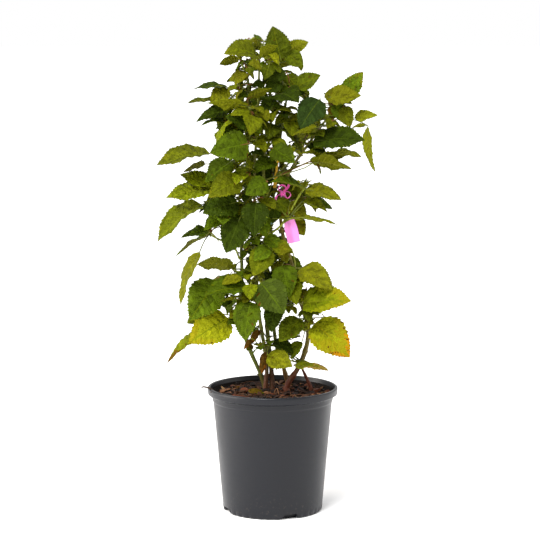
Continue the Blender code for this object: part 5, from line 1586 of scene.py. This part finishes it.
def limb_skin(limb, shape, heights):
    """A cane or bough: its own path with five low ridges, a swelling at each shoot, and old leaf scars.

    The radius is the limb's own, times 1 + 0.07 cos(5 angle) for the ridges, times a swelling of exp(-(dz /
    3.5 mm)^2) at each node, times a slow unevenness. A cane's foot is split into six deeper ridges."""
    path, radii = shape
    rng = random.Random(f"{SEED}/{limb.name}/bark")
    run = run_along(path)
    steps = max(16, int(run[-1] / CANE_RING_STEP))
    fine = smooth_path(path, steps)
    thick = np.interp(np.linspace(0, len(path) - 1, steps), np.arange(len(path)), radii)
    nodes = [h * MM for h in heights if h] + list(np.arange(path[0, 2] + 0.03, path[:, 2].max(), NODE_STEP))
    swell = np.ones(steps)
    for z in nodes:
        swell += NODE_SWELLING * np.exp(-((fine[:, 2] - z) / NODE_REACH) ** 2)
    swell = np.minimum(swell, MOST_SWOLLEN)
    angles = round_angles(CANE_SIDES)
    along = np.linspace(0.0, run[-1], steps)
    phase = [rng.uniform(0, 6.28) for _ in range(4)]
    uneven = sum(share * np.sin(along[:, None] / length + turns * angles[None, :] + start)
                 for (share, length, turns), start in zip(BARK_WAVES, phase))
    ridges = RIDGE_SHARE * np.cos(CANE_RIDGES * angles)[None, :]
    if limb.parent is None:
        split = np.exp(-along / FOOT_SPLIT_RUN)[:, None]
        swirl = 0.9 * np.sin(along / 0.007)[:, None]
        foot_ridges = split * FOOT_RIDGE_SHARE * np.cos(FOOT_RIDGES * angles[None, :] + swirl)
        ridges = ridges * (1.0 - split) + foot_ridges
        uneven = uneven * (1.0 + 2.0 * split)
    rings = (thick * swell)[:, None] * (1.0 + uneven + ridges)
    sunk = CANE_SUNK if limb.parent is None else BOUGH_SUNK
    foot = fine[0] - unit(fine[1] - fine[0]) * sunk
    core, skin_radii = np.vstack([foot, fine]), np.vstack([rings[:1], rings])
    skins = [round_skin(core, skin_radii, CANE_SIDES, "bark_" + limb.name)]
    bearing = rng.uniform(0, 360)
    for z in nodes:
        if z > path[:, 2].max() - 0.01:
            continue
        centre, tangent, radius = place_on(shape, z / MM)
        bearing += GOLDEN_ANGLE
        out = across(tangent, heading(bearing, 0))
        way = unit(out + 0.8 * tangent)
        scar = [centre + out * radius * 0.5, centre + out * radius * 1.1 + way * 0.0006,
                centre + out * radius * 1.1 + way * rng.uniform(0.0020, 0.0042)]
        skins.append(round_skin(scar, [0.0016, 0.0013, 0.0008], 6, "bark_" + limb.name))
    return skins


# Bark at the foot, halfway up and at the top, and the share of the height that the foot's colour reaches.
CANE_COLOURS = {
    "cane_left": ("#4c4519", "#57631c", "#6c7620", 0.03),
    "cane_front": ("#4f2c18", "#646720", "#727c22", 0.06),
    "cane_middle": ("#482a17", "#616520", "#6c7620", 0.05),
    "cane_right": ("#572814", "#665c20", "#6f7822", 0.06),
    "cane_back": ("#6b4a20", "#646a1e", "#6a741f", 0.05),
    "old_stub": ("#5a2915", "#522a18", "#4a3226", 0.10),
}
BOUGH_COLOURS = ("#8a8f24", "#8b9626", "#8f9a2a", 0.10)


def build_limbs(shapes, finishes):
    """Each limb as a piece of its own."""
    for limb in LIMBS:
        heights = [shoot.height for shoot in (*SHOOTS, *REARS) if shoot.limb == limb.name]
        colours = CANE_COLOURS.get(limb.name, BOUGH_COLOURS)
        finishes["bark_" + limb.name] = cane_finish("cane_bark_" + limb.name, *colours)
        piece(limb.name, limb_skin(limb, shapes[limb.name], heights), finishes, "cane_skin", [limb.name])


# ---------------------------------------------------------------- pot, bark and litter
TURNED_STEPS = 304
SCALLOPS = 38
SCALLOP_DEPTH = 0.0013
FOOT_RISE = 0.012
INSIDE_BEND, OUTSIDE_BEND = 0.0015, 0.0010
BAND_DROP = 0.0260
WALL_TOP, WALL_BOTTOM = 0.191, 0.0125
# The rows of the inside that stand above the bark's level, and keep the pot's own finish.
CLEAN_ROWS = 6


def notch_height(angles):
    """How far the pot's foot is cut away at each angle: four notches with sloping sides."""
    height = np.zeros(len(angles))
    for k in range(DRAIN_SLOTS):
        centre = math.radians(DRAIN_FIRST_BEARING + 360.0 * k / DRAIN_SLOTS)
        off = np.abs((angles - centre + math.pi) % (2 * math.pi) - math.pi) * BASE_RADIUS
        share = np.clip((0.5 * DRAIN_WIDTH - off) / (0.5 * DRAIN_WIDTH * 0.38), 0.0, 1.0)
        height = np.maximum(height, DRAIN_HEIGHT * share**1.4)
    return height


def inner_radius(z):
    """The radius of the pot's inner wall at height z below the band."""
    share = (z - 0.003) / (POT_HEIGHT - 0.0260 - 0.003)
    return BASE_RADIUS + (SHOULDER_RADIUS - BASE_RADIUS) * share - POT_WALL


def turned_skin(profile, lifts, finish_name):
    """A closed turned body from (radius, height) rows. A profile that starts and ends at radius 0 has poles.

    lifts holds for each row None, or the least height of its points at each angle."""
    angles = round_angles(TURNED_STEPS)
    inner = profile[1:-1]
    radius = np.array([p[0] for p in inner])[:, None] * np.ones(TURNED_STEPS)
    height = np.array([p[1] for p in inner])[:, None] * np.ones(TURNED_STEPS)
    for k, lift in enumerate(lifts):
        if lift is not None:
            height[k] = np.maximum(height[k], lift)
    low = np.clip(1.0 - height / FOOT_RISE, 0.0, 1.0)
    outer = radius > BASE_RADIUS - 0.004
    radius -= SCALLOP_DEPTH * low * outer * (0.5 - 0.5 * np.cos(SCALLOPS * angles))[None, :] ** 3
    points = np.stack([radius * np.cos(angles), radius * np.sin(angles), height], -1)
    ends = np.array([[0.0, 0.0, profile[0][1]], [0.0, 0.0, profile[-1][1]]])
    quads = grid_quads(len(inner), TURNED_STEPS, closed=True).reshape(-1, 4)
    caps = pole_fans(len(inner), TURNED_STEPS, True)
    return patch(np.vstack([points.reshape(-1, 3), ends]), [quads, caps], finish_name)


def rounded(profile, radius, steps=3):
    """A profile with each inner corner rounded by a short curve."""
    found = [profile[0]]
    for before, here, after in zip(profile, profile[1:], profile[2:]):
        before, here, after = map(np.array, (before, here, after))
        back, ahead = np.linalg.norm(before - here), np.linalg.norm(after - here)
        cut = min(radius, 0.4 * back, 0.4 * ahead)
        a = here + (before - here) / back * cut
        b = here + (after - here) / ahead * cut
        for t in np.linspace(0.0, 1.0, steps):
            found.append(tuple((1 - t) ** 2 * a + 2 * (1 - t) * t * here + t**2 * b))
    return [*found, profile[-1]]


def build_pot(finishes):
    """The pot as one moulded wall, with a rolled rim, a band, a shoulder, and feet between its notches."""
    angles = round_angles(TURNED_STEPS)
    lift = notch_height(angles)
    band = POT_HEIGHT - BAND_DROP
    inside = rounded([
        (0.0, POT_FLOOR),
        (BASE_RADIUS - DRAIN_DEPTH - POT_WALL, POT_FLOOR),
        (BASE_RADIUS - DRAIN_DEPTH - POT_WALL, DRAIN_HEIGHT + POT_WALL),
        (inner_radius(DRAIN_HEIGHT + POT_WALL), DRAIN_HEIGHT + POT_WALL),
        (inner_radius(band), band),
        (BAND_RADIUS - 0.0030, POT_HEIGHT - 0.0160),
        (RIM_RADIUS - 0.0062, POT_HEIGHT - 0.0090),
        (RIM_RADIUS - 0.0050, POT_HEIGHT - 0.0010),
        (RIM_RADIUS - 0.0044, POT_HEIGHT),
    ], INSIDE_BEND)
    outside = rounded([
        (RIM_RADIUS - 0.0044, POT_HEIGHT),
        (RIM_RADIUS - 0.0016, POT_HEIGHT),
        (RIM_RADIUS - 0.0003, POT_HEIGHT - 0.0012),
        (RIM_RADIUS, POT_HEIGHT - 0.0035),
        (RIM_RADIUS - 0.0004, POT_HEIGHT - 0.0118),
        (RIM_RADIUS - 0.0026, POT_HEIGHT - 0.0130),
        (BAND_RADIUS + 0.0006, POT_HEIGHT - 0.0150),
        (BAND_RADIUS, POT_HEIGHT - 0.0175),
        (BAND_RADIUS - 0.0006, POT_HEIGHT - 0.0236),
        (SHOULDER_RADIUS + 0.0002, POT_HEIGHT - 0.0256),
        (SHOULDER_RADIUS, POT_HEIGHT - 0.0280),
    ], OUTSIDE_BEND)
    wall = [(SHOULDER_RADIUS + (BASE_RADIUS - SHOULDER_RADIUS) * t, WALL_TOP + (WALL_BOTTOM - WALL_TOP) * t)
            for t in np.linspace(0.1, 1.0, 10)]
    foot = [(BASE_RADIUS - 0.0001, 0.0105), (BASE_RADIUS - 0.0002, 0.0085), (BASE_RADIUS - 0.0003, 0.0060),
            (BASE_RADIUS - 0.0006, 0.0035), (BASE_RADIUS - 0.0012, 0.0012), (BASE_RADIUS - 0.0025, 0.0)]
    under = [(BASE_RADIUS - DRAIN_DEPTH + 0.0015, 0.0)]
    closing = [(BASE_RADIUS - DRAIN_DEPTH, 0.0), (0.0, 0.0)]
    profile = [*inside[:-1], *outside, *wall, *foot, *under, *closing]
    lifts = [None] * (len(profile) - 2)
    first = len(inside) - 1 + len(outside) + len(wall)
    for k in range(first, first + len(foot) + len(under)):
        lifts[k - 1] = lift + 0.00002 * (first + len(foot) - k)
    skin = turned_skin(profile, lifts, "pot")
    skin.finishes[0].reshape(-1, TURNED_STEPS)[: len(inside) - CLEAN_ROWS] = "pot_inside"
    piece("pot", [skin], finishes, "pot_plastic", ["pot"], 35)


def soil_height(x, y):
    """The bark's surface: low hummocks 10 to 40 mm across, a dip at the wall, a mound round the canes."""
    reach = np.hypot(x, y)
    hummocks = (0.0011 * np.sin(x / 0.0061 + 1.3) * np.sin(y / 0.0073 + 0.4)
                + 0.0008 * np.sin(x / 0.0031 + y / 0.0042) + 0.0007 * np.sin(y / 0.0024 - x / 0.0052 + 2.0))
    return SOIL_LEVEL - 0.0012 + hummocks + 0.0025 * np.exp(-(reach / 0.05) ** 2) - 0.002 * (reach / 0.1) ** 6


def build_soil(finishes):
    """The root ball as a plug inside the pot with an uneven top, and loose bark chips over it."""
    radii = np.concatenate([np.linspace(0.004, 0.094, 36), [0.0975, 0.0995]])
    clear = SEAT_GAP + 0.0002
    angles = round_angles(TURNED_STEPS)
    x, y = radii[:, None] * np.cos(angles), radii[:, None] * np.sin(angles)
    z = soil_height(x, y)
    z[-1] -= 0.003
    floor = DRAIN_HEIGHT + POT_WALL + 0.002
    band = POT_HEIGHT - BAND_DROP
    sides = [(inner_radius(band) - clear, band), (inner_radius(floor) - clear, floor), (0.05, floor)]
    reach, heights = (np.array(column)[:, None] for column in zip(*sides))
    lower = np.stack([reach * np.cos(angles), reach * np.sin(angles), heights + 0.0 * angles], -1)
    points = np.vstack([np.stack([x, y, z], -1), lower])
    quads = grid_quads(len(points), TURNED_STEPS, closed=True).reshape(-1, 4)
    caps = pole_fans(len(points), TURNED_STEPS, True)
    ends = [[0.0, 0.0, float(soil_height(0.0, 0.0))], [0.0, 0.0, floor]]
    body = patch(np.vstack([points.reshape(-1, 3), ends]), [quads, caps], "bark_fines")
    piece("root_ball", [body], finishes, "bark_soil", ["soil"], 60)
    piece("bark_chips", [chips()], finishes, "bark_soil", ["soil"], 30)


CHIP_COUNT = 1500
CHIP_SEED = 7
CHIP_SPREAD = 0.0965
# (place along the chip, size) of each of its rings, and the corners of a ring.
CHIP_RINGS = ((-1.0, 0.45), (-0.55, 0.9), (0.25, 1.0), (1.0, 0.35))
CHIP_CORNERS = ((-1.0, -1.0), (1.0, -1.0), (1.0, 1.0), (-1.0, 1.0))
CHIP_MIX = (("chip_dark", 0.40), ("chip_damp", 0.24), ("chip_brown", 0.15), ("chip_rust", 0.13),
            ("chip_tan", 0.06), ("chip_pale", 0.02))


def chips():
    """Split bark chips: each is four uneven rings of four corners, laid near level and turned at random."""
    rng = np.random.default_rng(CHIP_SEED)
    count = CHIP_COUNT
    reach = CHIP_SPREAD * np.sqrt(rng.random(count))
    bearing = rng.random(count) * 2 * math.pi
    long = 0.0018 + 0.0062 * rng.random(count) ** 2.0
    wide = long * rng.uniform(0.25, 0.75, count)
    thick = wide * rng.uniform(0.25, 0.6, count)
    ring_at, ring_size = np.array(CHIP_RINGS).T[:, None, :, None]
    square = np.array(CHIP_CORNERS).T[:, None, None]
    local = np.empty((count, 4, 4, 3))
    local[..., 0] = ring_at * long[:, None, None] * rng.uniform(0.85, 1.1, (count, 4, 4))
    local[..., 1] = square[0] * (ring_size * wide[:, None, None]) * rng.uniform(0.7, 1.15, (count, 4, 4))
    local[..., 2] = square[1] * (ring_size * thick[:, None, None]) * rng.uniform(0.6, 1.2, (count, 4, 4))
    spin, tip, roll = rng.random(count) * 2 * math.pi, rng.normal(0, 0.28, count), rng.normal(0, 0.35, count)
    cs, sn = np.cos(spin), np.sin(spin)
    along = np.stack([cs * np.cos(tip), sn * np.cos(tip), np.sin(tip)], -1)
    side = np.stack([-sn, cs, np.zeros(count)], -1)
    up = np.cross(along, side)
    side, up = (side * np.cos(roll)[:, None] + up * np.sin(roll)[:, None],
                up * np.cos(roll)[:, None] - side * np.sin(roll)[:, None])
    x, y = reach * np.cos(bearing), reach * np.sin(bearing)
    centre = np.stack([x, y, soil_height(x, y) + thick * rng.uniform(0.2, 1.6, count) + 0.0005], -1)
    points = (centre[:, None, None] + local[..., :1] * along[:, None, None]
              + local[..., 1:2] * side[:, None, None] + local[..., 2:] * up[:, None, None])
    first = (np.arange(count) * 16)[:, None, None]
    sides = grid_quads(4, 4, closed=True).reshape(1, -1, 4)
    ends = np.array([[3, 2, 1, 0], [12, 13, 14, 15]])[None]
    quads = (first + np.concatenate([sides[..., ::-1], ends], 1)).reshape(-1, 4)
    names, shares = zip(*CHIP_MIX)
    picked = np.array(names, dtype="U24")[rng.choice(len(names), count, p=shares)]
    return patch(points.reshape(-1, 3), [quads], [np.repeat(picked, len(sides[0]) + 2)])


# Leaves that lie on the bark, and two dead ones that hang from the canes, with where their stalks begin.
SHED_LEAVES = (
    Blade(np.array([-0.043, -0.032, 0.2165]), heading(4, 4), heading(276, 62), 0.036, 0.015, 30, 16,
          "bronze"),
    Blade(np.array([0.030, -0.052, 0.2120]), heading(200, 6), heading(80, 75), 0.022, 0.012, 50, 24,
          "withered"),
    Blade(np.array([0.020, 0.050, 0.2120]), heading(40, 6), heading(200, 80), 0.030, 0.017, 40, 24,
          "bronze"),
    Blade(np.array([-0.055, 0.030, 0.2120]), heading(130, 4), heading(0, 80), 0.026, 0.015, 40, 24,
          "withered"),
)
DEAD_LEAVES = (
    Blade(np.array([-0.010, -0.024, 0.284]), heading(214, -50), heading(236, 36), 0.042, 0.034, 60, 24,
          "withered"),
    Blade(np.array([-0.022, -0.022, 0.322]), heading(196, -28), heading(236, 50), 0.034, 0.028, 66, 26,
          "withered"),
)
DEAD_LEADS = ((0.002, 0.018, -0.012), (0.006, 0.014, -0.008))
# (points, radius, finish) of the twigs and roots that are placed. Loose ones are strewn beside them.
STICKS = (
    (((0.002, -0.030, 0.211), (0.007, -0.036, 0.222), (0.011, -0.046, 0.2135)), 0.0008, "chip_tan"),
    (((-0.075, -0.050, 0.2105), (-0.060, -0.058, 0.2135), (-0.040, -0.060, 0.2105)), 0.0011, "chip_rust"),
    (((0.040, -0.040, 0.2110), (0.055, -0.052, 0.2140), (0.078, -0.050, 0.2110)), 0.0009, "chip_brown"),
    (((0.060, 0.020, 0.2105), (0.068, 0.036, 0.2150), (0.060, 0.056, 0.2110)), 0.0010, "chip_tan"),
    (((-0.020, 0.060, 0.2110), (-0.040, 0.070, 0.2140), (-0.058, 0.066, 0.2110)), 0.0010, "chip_brown"),
    (((-0.090, -0.020, 0.2080), (-0.101, -0.024, 0.2135), (-0.109, -0.026, 0.2196),
      (-0.1155, -0.027, 0.2222), (-0.1205, -0.028, 0.2232), (-0.1245, -0.029, 0.2225)), 0.0017, "root"),
    (((-0.086, -0.034, 0.2085), (-0.096, -0.040, 0.2140), (-0.104, -0.041, 0.2180),
      (-0.108, -0.040, 0.2155)), 0.0010, "root"),
)
LOOSE_TWIGS = 26


def fallen(kind, blades, pairs):
    """The skins of leaves that have died or dropped, each in its own cell of the texture's square."""
    share = 1.0 / len(blades)
    return [blade_skin(blade, COLUMNS, pairs, random.Random(f"{SEED}/{kind}/{k}"), (k * share, 0.0, share))
            for k, blade in enumerate(blades)]


def build_litter(finishes):
    """What lies on the bark: a shed leaf, dry twigs, roots, and one root curled over the rim."""
    stalks = []
    for blade, lead in zip(DEAD_LEAVES, DEAD_LEADS):
        path = smooth_path([blade.base + np.array(lead), blade.base, blade.base + 0.004 * blade.along], 9)
        stalks.append(round_skin(path, np.linspace(0.0009, 0.0005, 9), 6, "chip_brown"))
    piece("dead_leaves", fallen("dead", DEAD_LEAVES, 6), finishes, "foliage", ["leaves_foot_withered"], 75)
    piece("dead_stalks", stalks, finishes, "foliage", ["leaves_foot_withered"])
    piece("shed_leaves", fallen("shed", SHED_LEAVES, 5), finishes, "bark_soil", ["soil"], 75)
    rows = list(STICKS)
    rng = random.Random(f"{SEED}/sticks")
    for _ in range(LOOSE_TWIGS):
        bearing, reach = rng.uniform(0, 360), rng.uniform(0.02, 0.085)
        middle = heading(bearing, 0) * reach + UP * (SOIL_LEVEL + 0.0022)
        way = heading(rng.uniform(0, 360), rng.uniform(-8, 8)) * rng.uniform(0.006, 0.014)
        bend = heading(rng.uniform(0, 360), 30) * 0.002
        rows.append(([middle - way, middle + bend, middle + way], rng.uniform(0.0005, 0.0011),
                     rng.choice(("chip_tan", "chip_brown", "chip_rust", "chip_dark"))))
    sticks = []
    for points, radius, skin_name in rows:
        path = smooth_path(points, 6 * (len(points) - 1))
        sticks.append(round_skin(path, radius * np.linspace(1.15, 0.7, len(path)), 7, skin_name))
    piece("twigs_and_roots", sticks, finishes, "bark_soil", ["soil"])


# ---------------------------------------------------------------- tie and tapes
Tape = namedtuple("Tape", "name cane height clear wall band tail_width tail_length lean forward")
TAPES = (
    Tape("tape_pink", "cane_right", 560, 0.0009, 0.0012, 0.010, 0.0235, 0.0905, 13.0, 6.0),
    Tape("tape_yellow", "cane_back", 616, 0.0004, 0.0010, 0.006, 0.007, 0.050, -6.0, 5.0),
)


def hull(points):
    """The points of a plane that form its convex hull, in order round it."""
    def half(ordered):
        kept = []
        for p in ordered:
            while len(kept) > 1 and np.cross(kept[-1] - kept[-2], p - kept[-2]) <= 1e-12:
                kept.pop()
            kept.append(p)
        return kept[:-1]

    ordered = sorted(points, key=tuple)
    return half(ordered) + half(ordered[::-1])


def band_skin(outline, axis, wall, tall, finish_name, lift=None):
    """A closed band of tape: each outline point carries a ring of eight corners, a rounded oblong.

    lift is how far each point of the outline stands up or down, so that the band doesn't look machined."""
    outline = np.asarray(outline, float)
    ahead = np.roll(outline, -1, 0) - np.roll(outline, 1, 0)
    out = np.cross(ahead, axis)
    out /= np.linalg.norm(out, axis=1)[:, None]
    corners = np.array([(0.5, 0.8), (0.5, -0.8), (0.3, -1.0), (-0.3, -1.0),
                        (-0.5, -0.8), (-0.5, 0.8), (-0.3, 1.0), (0.3, 1.0)])
    up = np.zeros(len(outline)) if lift is None else np.asarray(lift)
    points = (outline[:, None] + out[:, None] * (wall * corners[:, 0])[None, :, None]
              + axis * (0.5 * tall * corners[:, 1][None, :, None] + up[:, None, None]))
    index = np.arange(points.shape[0] * 8).reshape(-1, 8)
    index = np.vstack([index, index[:1]])
    index = np.hstack([index, index[:, :1]])
    quads = np.stack([index[:-1, :-1], index[1:, :-1], index[1:, 1:], index[:-1, 1:]], -1).reshape(-1, 4)
    return patch(points.reshape(-1, 3), [quads], finish_name)


def strip_skin(path, side, widths, crease, wall, finish_name, rng):
    """A length of tape: rows along a path and seven columns across it, creased by slow waves."""
    path, side = np.asarray(path, float), np.asarray(side, float)
    if side.ndim == 1:
        side = np.repeat(side[None], len(path), 0)
    tangent = np.gradient(path, axis=0)
    tangent /= np.linalg.norm(tangent, axis=1)[:, None]
    side = side - np.sum(side * tangent, axis=1)[:, None] * tangent
    side /= np.linalg.norm(side, axis=1)[:, None]
    normal = np.cross(tangent, side)
    v = np.linspace(-1, 1, 7)[None, :]
    t = np.linspace(0, 1, len(path))[:, None]
    a, b, c = (rng.uniform(0, 6.28) for _ in range(3))
    fold = crease * (np.sin(4.2 * v + 2.0 * t + a) + 0.5 * np.sin(9.0 * t + 2.0 * v + b)
                     + 0.3 * np.sin(7 * v + c))
    width = 0.5 * np.asarray(widths)[:, None] * v * (1 + 0.05 * np.sin(11 * t + a))
    middle = path[:, None] + side[:, None] * width[..., None] + normal[:, None] * fold[..., None]
    step = 0.5 * wall * normal[:, None]
    names = np.full((len(path) - 1, 6), finish_name, dtype="U24")
    return shell(middle + step, middle - step, names, names, finish_name)


def ring_round(centre, tangent, radius, count=36):
    """Points on a circle square to a cane."""
    a = across(tangent, np.array([1.0, 0.0, 0.0]))
    b = np.cross(tangent, a)
    angles = round_angles(count)
    return centre + radius * (np.cos(angles)[:, None] * a + np.sin(angles)[:, None] * b), angles


Loop = namedtuple("Loop", "points side width")
LOOPS = {
    "tape_pink": (
        Loop(((0, 0, 0), (-7, -3, 8), (-3, -6, 15), (5, -5, 12), (3, -2, 2)), (0.2, -1, 0.3), 8),
        Loop(((0, -1, 0), (9, -4, 4), (14, -5, -2), (8, -5, -8), (1, -2, -1)), (-0.2, -1, 0.1), 8),
        Loop(((-1, -1, 1), (-8, -5, -3), (-12, -4, -9), (-9, -3, -16)), (0.6, -1, 0.2), 7),
        Loop(((-3, -2, -3), (2, -6, 0), (4, -3, 5)), (0.1, -0.4, 1), 8),
        Loop(((1, -2, 3), (9, -3, 11), (12, -1, 19)), (0.9, -0.6, -0.3), 6),
    ),
    "tape_yellow": (
        Loop(((0, 0, 0), (-4, -2, 5), (-2, -3, 9), (3, -2, 6), (1, -1, 0)), (0.2, -1, 0.3), 4),
        Loop(((0, -1, 1), (4, -3, 8), (3, -2, 17)), (0.9, -0.6, -0.3), 4),
    ),
}


def build_tapes(shapes, finishes):
    """The pink and the yellow marker: a wound band, a crumpled knot, and a hanging tail left bare."""
    for tape, skin_name, slot in zip(TAPES, ("pink_vinyl", "yellow_vinyl"), ("pink_tape", "yellow_tape")):
        rng = random.Random(f"{SEED}/{tape.name}")
        centre, tangent, radius = place_on(shapes[tape.cane], tape.height)
        skins = []
        for k, shift in enumerate((-0.16, 0.14)):
            ring, angles = ring_round(centre + tangent * tape.band * shift, tangent,
                                      radius + tape.clear + tape.wall * (0.55 + 0.35 * k))
            wobble = 0.10 * tape.band * np.sin(2 * angles + 2 * k)
            skins.append(band_skin(ring, tangent, 0.6 * tape.wall, 0.66 * tape.band, skin_name, wobble))
        front = centre + FRONT * (radius + tape.clear + tape.wall)
        lean, forward = math.radians(tape.lean), math.radians(tape.forward)
        down = unit(np.array([math.sin(lean), -math.sin(forward), -math.cos(lean)]))
        across_tail = np.array([math.cos(lean), -0.25, math.sin(lean)])
        count = 26
        t = np.linspace(0.0, 1.0, count)
        path = (front + UP * 0.3 * tape.band)[None] + down * tape.tail_length * t[:, None]
        path = path + FRONT * (0.0025 * np.sin(2.6 * t + 0.4) * tape.tail_width / 0.024)[:, None]
        widths = tape.tail_width * np.interp(t, [0, 0.12, 0.35, 0.7, 1.0], [0.32, 0.42, 0.62, 0.92, 0.98])
        skins.append(strip_skin(path, across_tail, widths, 0.045 * tape.tail_width, 0.0003, skin_name, rng))
        # The knot's loops take the _knot finish, which on the pink tape is painted shade.
        for loop in LOOPS[tape.name]:
            path = smooth_path([front + np.array(p) * MM for p in loop.points], 20)
            way = np.repeat(np.array(loop.side, float)[None], 20, 0)
            skins.append(strip_skin(path, way, np.full(20, loop.width * MM) * np.linspace(0.6, 1.0, 20),
                                    0.05 * loop.width * MM, 0.0003, skin_name + "_knot", rng))
        piece(tape.name, skins, finishes, slot, [tape.name], 60)


def build_tie(shapes, finishes):
    """A flat tie pulled round the bundle of canes, with a small knot in front."""
    points = []
    for name in TIED_CANES:
        centre, tangent, radius = place_on(shapes[name], TIE_HEIGHT)
        reach = radius / tangent[2] + TIE_GAP + 0.5 * TIE_WALL
        for a in round_angles(24):
            points.append(centre[:2] + reach * np.array([math.cos(a), math.sin(a)]))
    outline = np.array(hull(points))
    closed = np.vstack([outline, outline[:1]])
    run = run_along(closed)
    even = np.linspace(0.0, run[-1], 97)[:-1]
    ring = np.stack([np.interp(even, run, closed[:, 0]), np.interp(even, run, closed[:, 1]),
                     np.full(96, TIE_HEIGHT * MM)], -1)
    lift = 0.0006 * np.sin(np.linspace(0, 4 * math.pi, 97)[:-1])
    skins = [band_skin(ring, UP, TIE_WALL, TIE_TALL, "tie", lift)]
    front = ring[np.argmin(ring[:, 1])]
    rng = random.Random(f"{SEED}/tie")
    for way, drop in (((-1, -0.25), -4), ((1, -0.3), -9)):
        path = smooth_path([front, front + np.array([5 * way[0], 12 * way[1], 1]) * MM,
                            front + np.array([10 * way[0], 12 * way[1], drop]) * MM], 12)
        skins.append(strip_skin(path, (0.1, -0.3, 1.0), np.full(12, 0.006), 0.0004, 0.0005, "tie", rng))
    skins.append(round_skin(front + np.outer([-0.003, -0.001, 0.001, 0.003], [1, 0, 0.2]) + FRONT * 0.001,
                            [0.0012, 0.0028, 0.0028, 0.0012], 10, "tie"))
    piece("tie_green", skins, finishes, "tie_tape", ["tie_green"], 50)


# ---------------------------------------------------------------- floor, lights and camera
FLOOR_DROP = 0.0006
FLOOR_SIDE, FLOOR_NEAR, FLOOR_FAR = 12.0, 9.0, 40.0
SUN_PLACE, SUN_STRENGTH, SUN_ANGLE = (-0.7, -1.5, 2.2), 2.95, 26.0
PANEL_SIZE = 2.2
# (name, place, watts, colour) of each soft panel.
PANELS = (("left_panel", (-2.6, -0.4, 1.0), 88.0, (1.0, 0.93, 0.86)),
          ("right_panel", (2.8, -0.2, 1.0), 14.0, (1.0, 0.92, 0.84)))
LIT_HEIGHT = 0.45
LENS_MM, SENSOR_MM = 134.67, 36.0
CAMERA_PLACE, CAMERA_TILT = (-0.0047, -3.5, 0.883), 82.55


def build_stage():
    """A plain pale floor, and soft light from the upper left and the right."""
    floor, _, _ = finish("studio_paper", "#fcfcfc", 1.0, Specular_IOR_Level=0.0)
    mesh = bpy.data.meshes.new("floor")
    corners = [(-FLOOR_SIDE, -FLOOR_NEAR), (FLOOR_SIDE, -FLOOR_NEAR), (FLOOR_SIDE, FLOOR_FAR),
               (-FLOOR_SIDE, FLOOR_FAR)]
    mesh.from_pydata([(x, y, -FLOOR_DROP) for x, y in corners], [], [(0, 1, 2, 3)])
    mesh.materials.append(floor)
    ground = bpy.data.objects.new("floor", mesh)
    bpy.context.scene.collection.objects.link(ground)
    world = bpy.data.worlds.new("studio")
    world.use_nodes = True
    world.node_tree.nodes["Background"].inputs["Color"].default_value = (1.0, 1.0, 1.0, 1.0)
    world.node_tree.nodes["Background"].inputs["Strength"].default_value = 1.0
    bpy.context.scene.world = world
    sky = bpy.data.lights.new("overhead", "SUN")
    sky.energy, sky.angle = SUN_STRENGTH, math.radians(SUN_ANGLE)
    lights = [("overhead", sky, SUN_PLACE)]
    for name, place, watts, colour in PANELS:
        lamp = bpy.data.lights.new(name, "AREA")
        lamp.size, lamp.energy, lamp.color = PANEL_SIZE, watts, colour
        lights.append((name, lamp, place))
    for name, lamp, place in lights:
        made = bpy.data.objects.new(name, lamp)
        made.location = place
        way = Vector(place) - Vector((0.0, 0.0, LIT_HEIGHT))
        made.rotation_euler = way.to_track_quat("Z", "Y").to_euler()
        bpy.context.scene.collection.objects.link(made)


def build_camera():
    """A long lens at chest height, 3.5 m away, a little above the plant."""
    lens = bpy.data.cameras.new("camera")
    lens.lens, lens.sensor_width = LENS_MM, SENSOR_MM
    made = bpy.data.objects.new("camera", lens)
    made.location = CAMERA_PLACE
    made.rotation_euler = (math.radians(CAMERA_TILT), 0.0, 0.0)
    bpy.context.scene.collection.objects.link(made)
    bpy.context.scene.camera = made


def build():
    """The whole plant in its pot."""
    finishes = all_finishes()
    shapes = limb_shapes()
    crowd = Crowd()
    for name in ("tie_green", "tape_pink", "tape_yellow"):
        mesh = frame["nodes"][name].data
        vertices = np.empty(3 * len(mesh.vertices))
        mesh.vertices.foreach_get("co", vertices)
        crowd.add(name, vertices.reshape(-1, 3), [tuple(p.vertices) for p in mesh.polygons])
    grown = grow_plant(shapes, crowd)
    change_leaves(grown)
    add_sprays(grown)
    plan = leaves_of_the_plan(grown)
    for name, (stem, leaves) in grown.items():
        leaves[:] = kept_of(leaves, in_window)
        fine = []
        finer_leaves(name, stem, fine, crowd)
        leaves += kept_of(fine, lambda blade: hides(blade, plan))
    tufts = {name: (stem, kept_of(leaves, lambda blade: hides(blade, plan)))
             for name, (stem, leaves) in grow_tufts(shapes, crowd).items()}
    build_foliage(grown, tufts, finishes, plan)
    build_limbs(shapes, finishes)
    build_pot(finishes)
    build_soil(finishes)
    build_litter(finishes)
    build_tapes(shapes, finishes)
    build_tie(shapes, finishes)


build()
build_stage()
build_camera()
bpy.context.scene.view_settings.view_transform = "Standard"
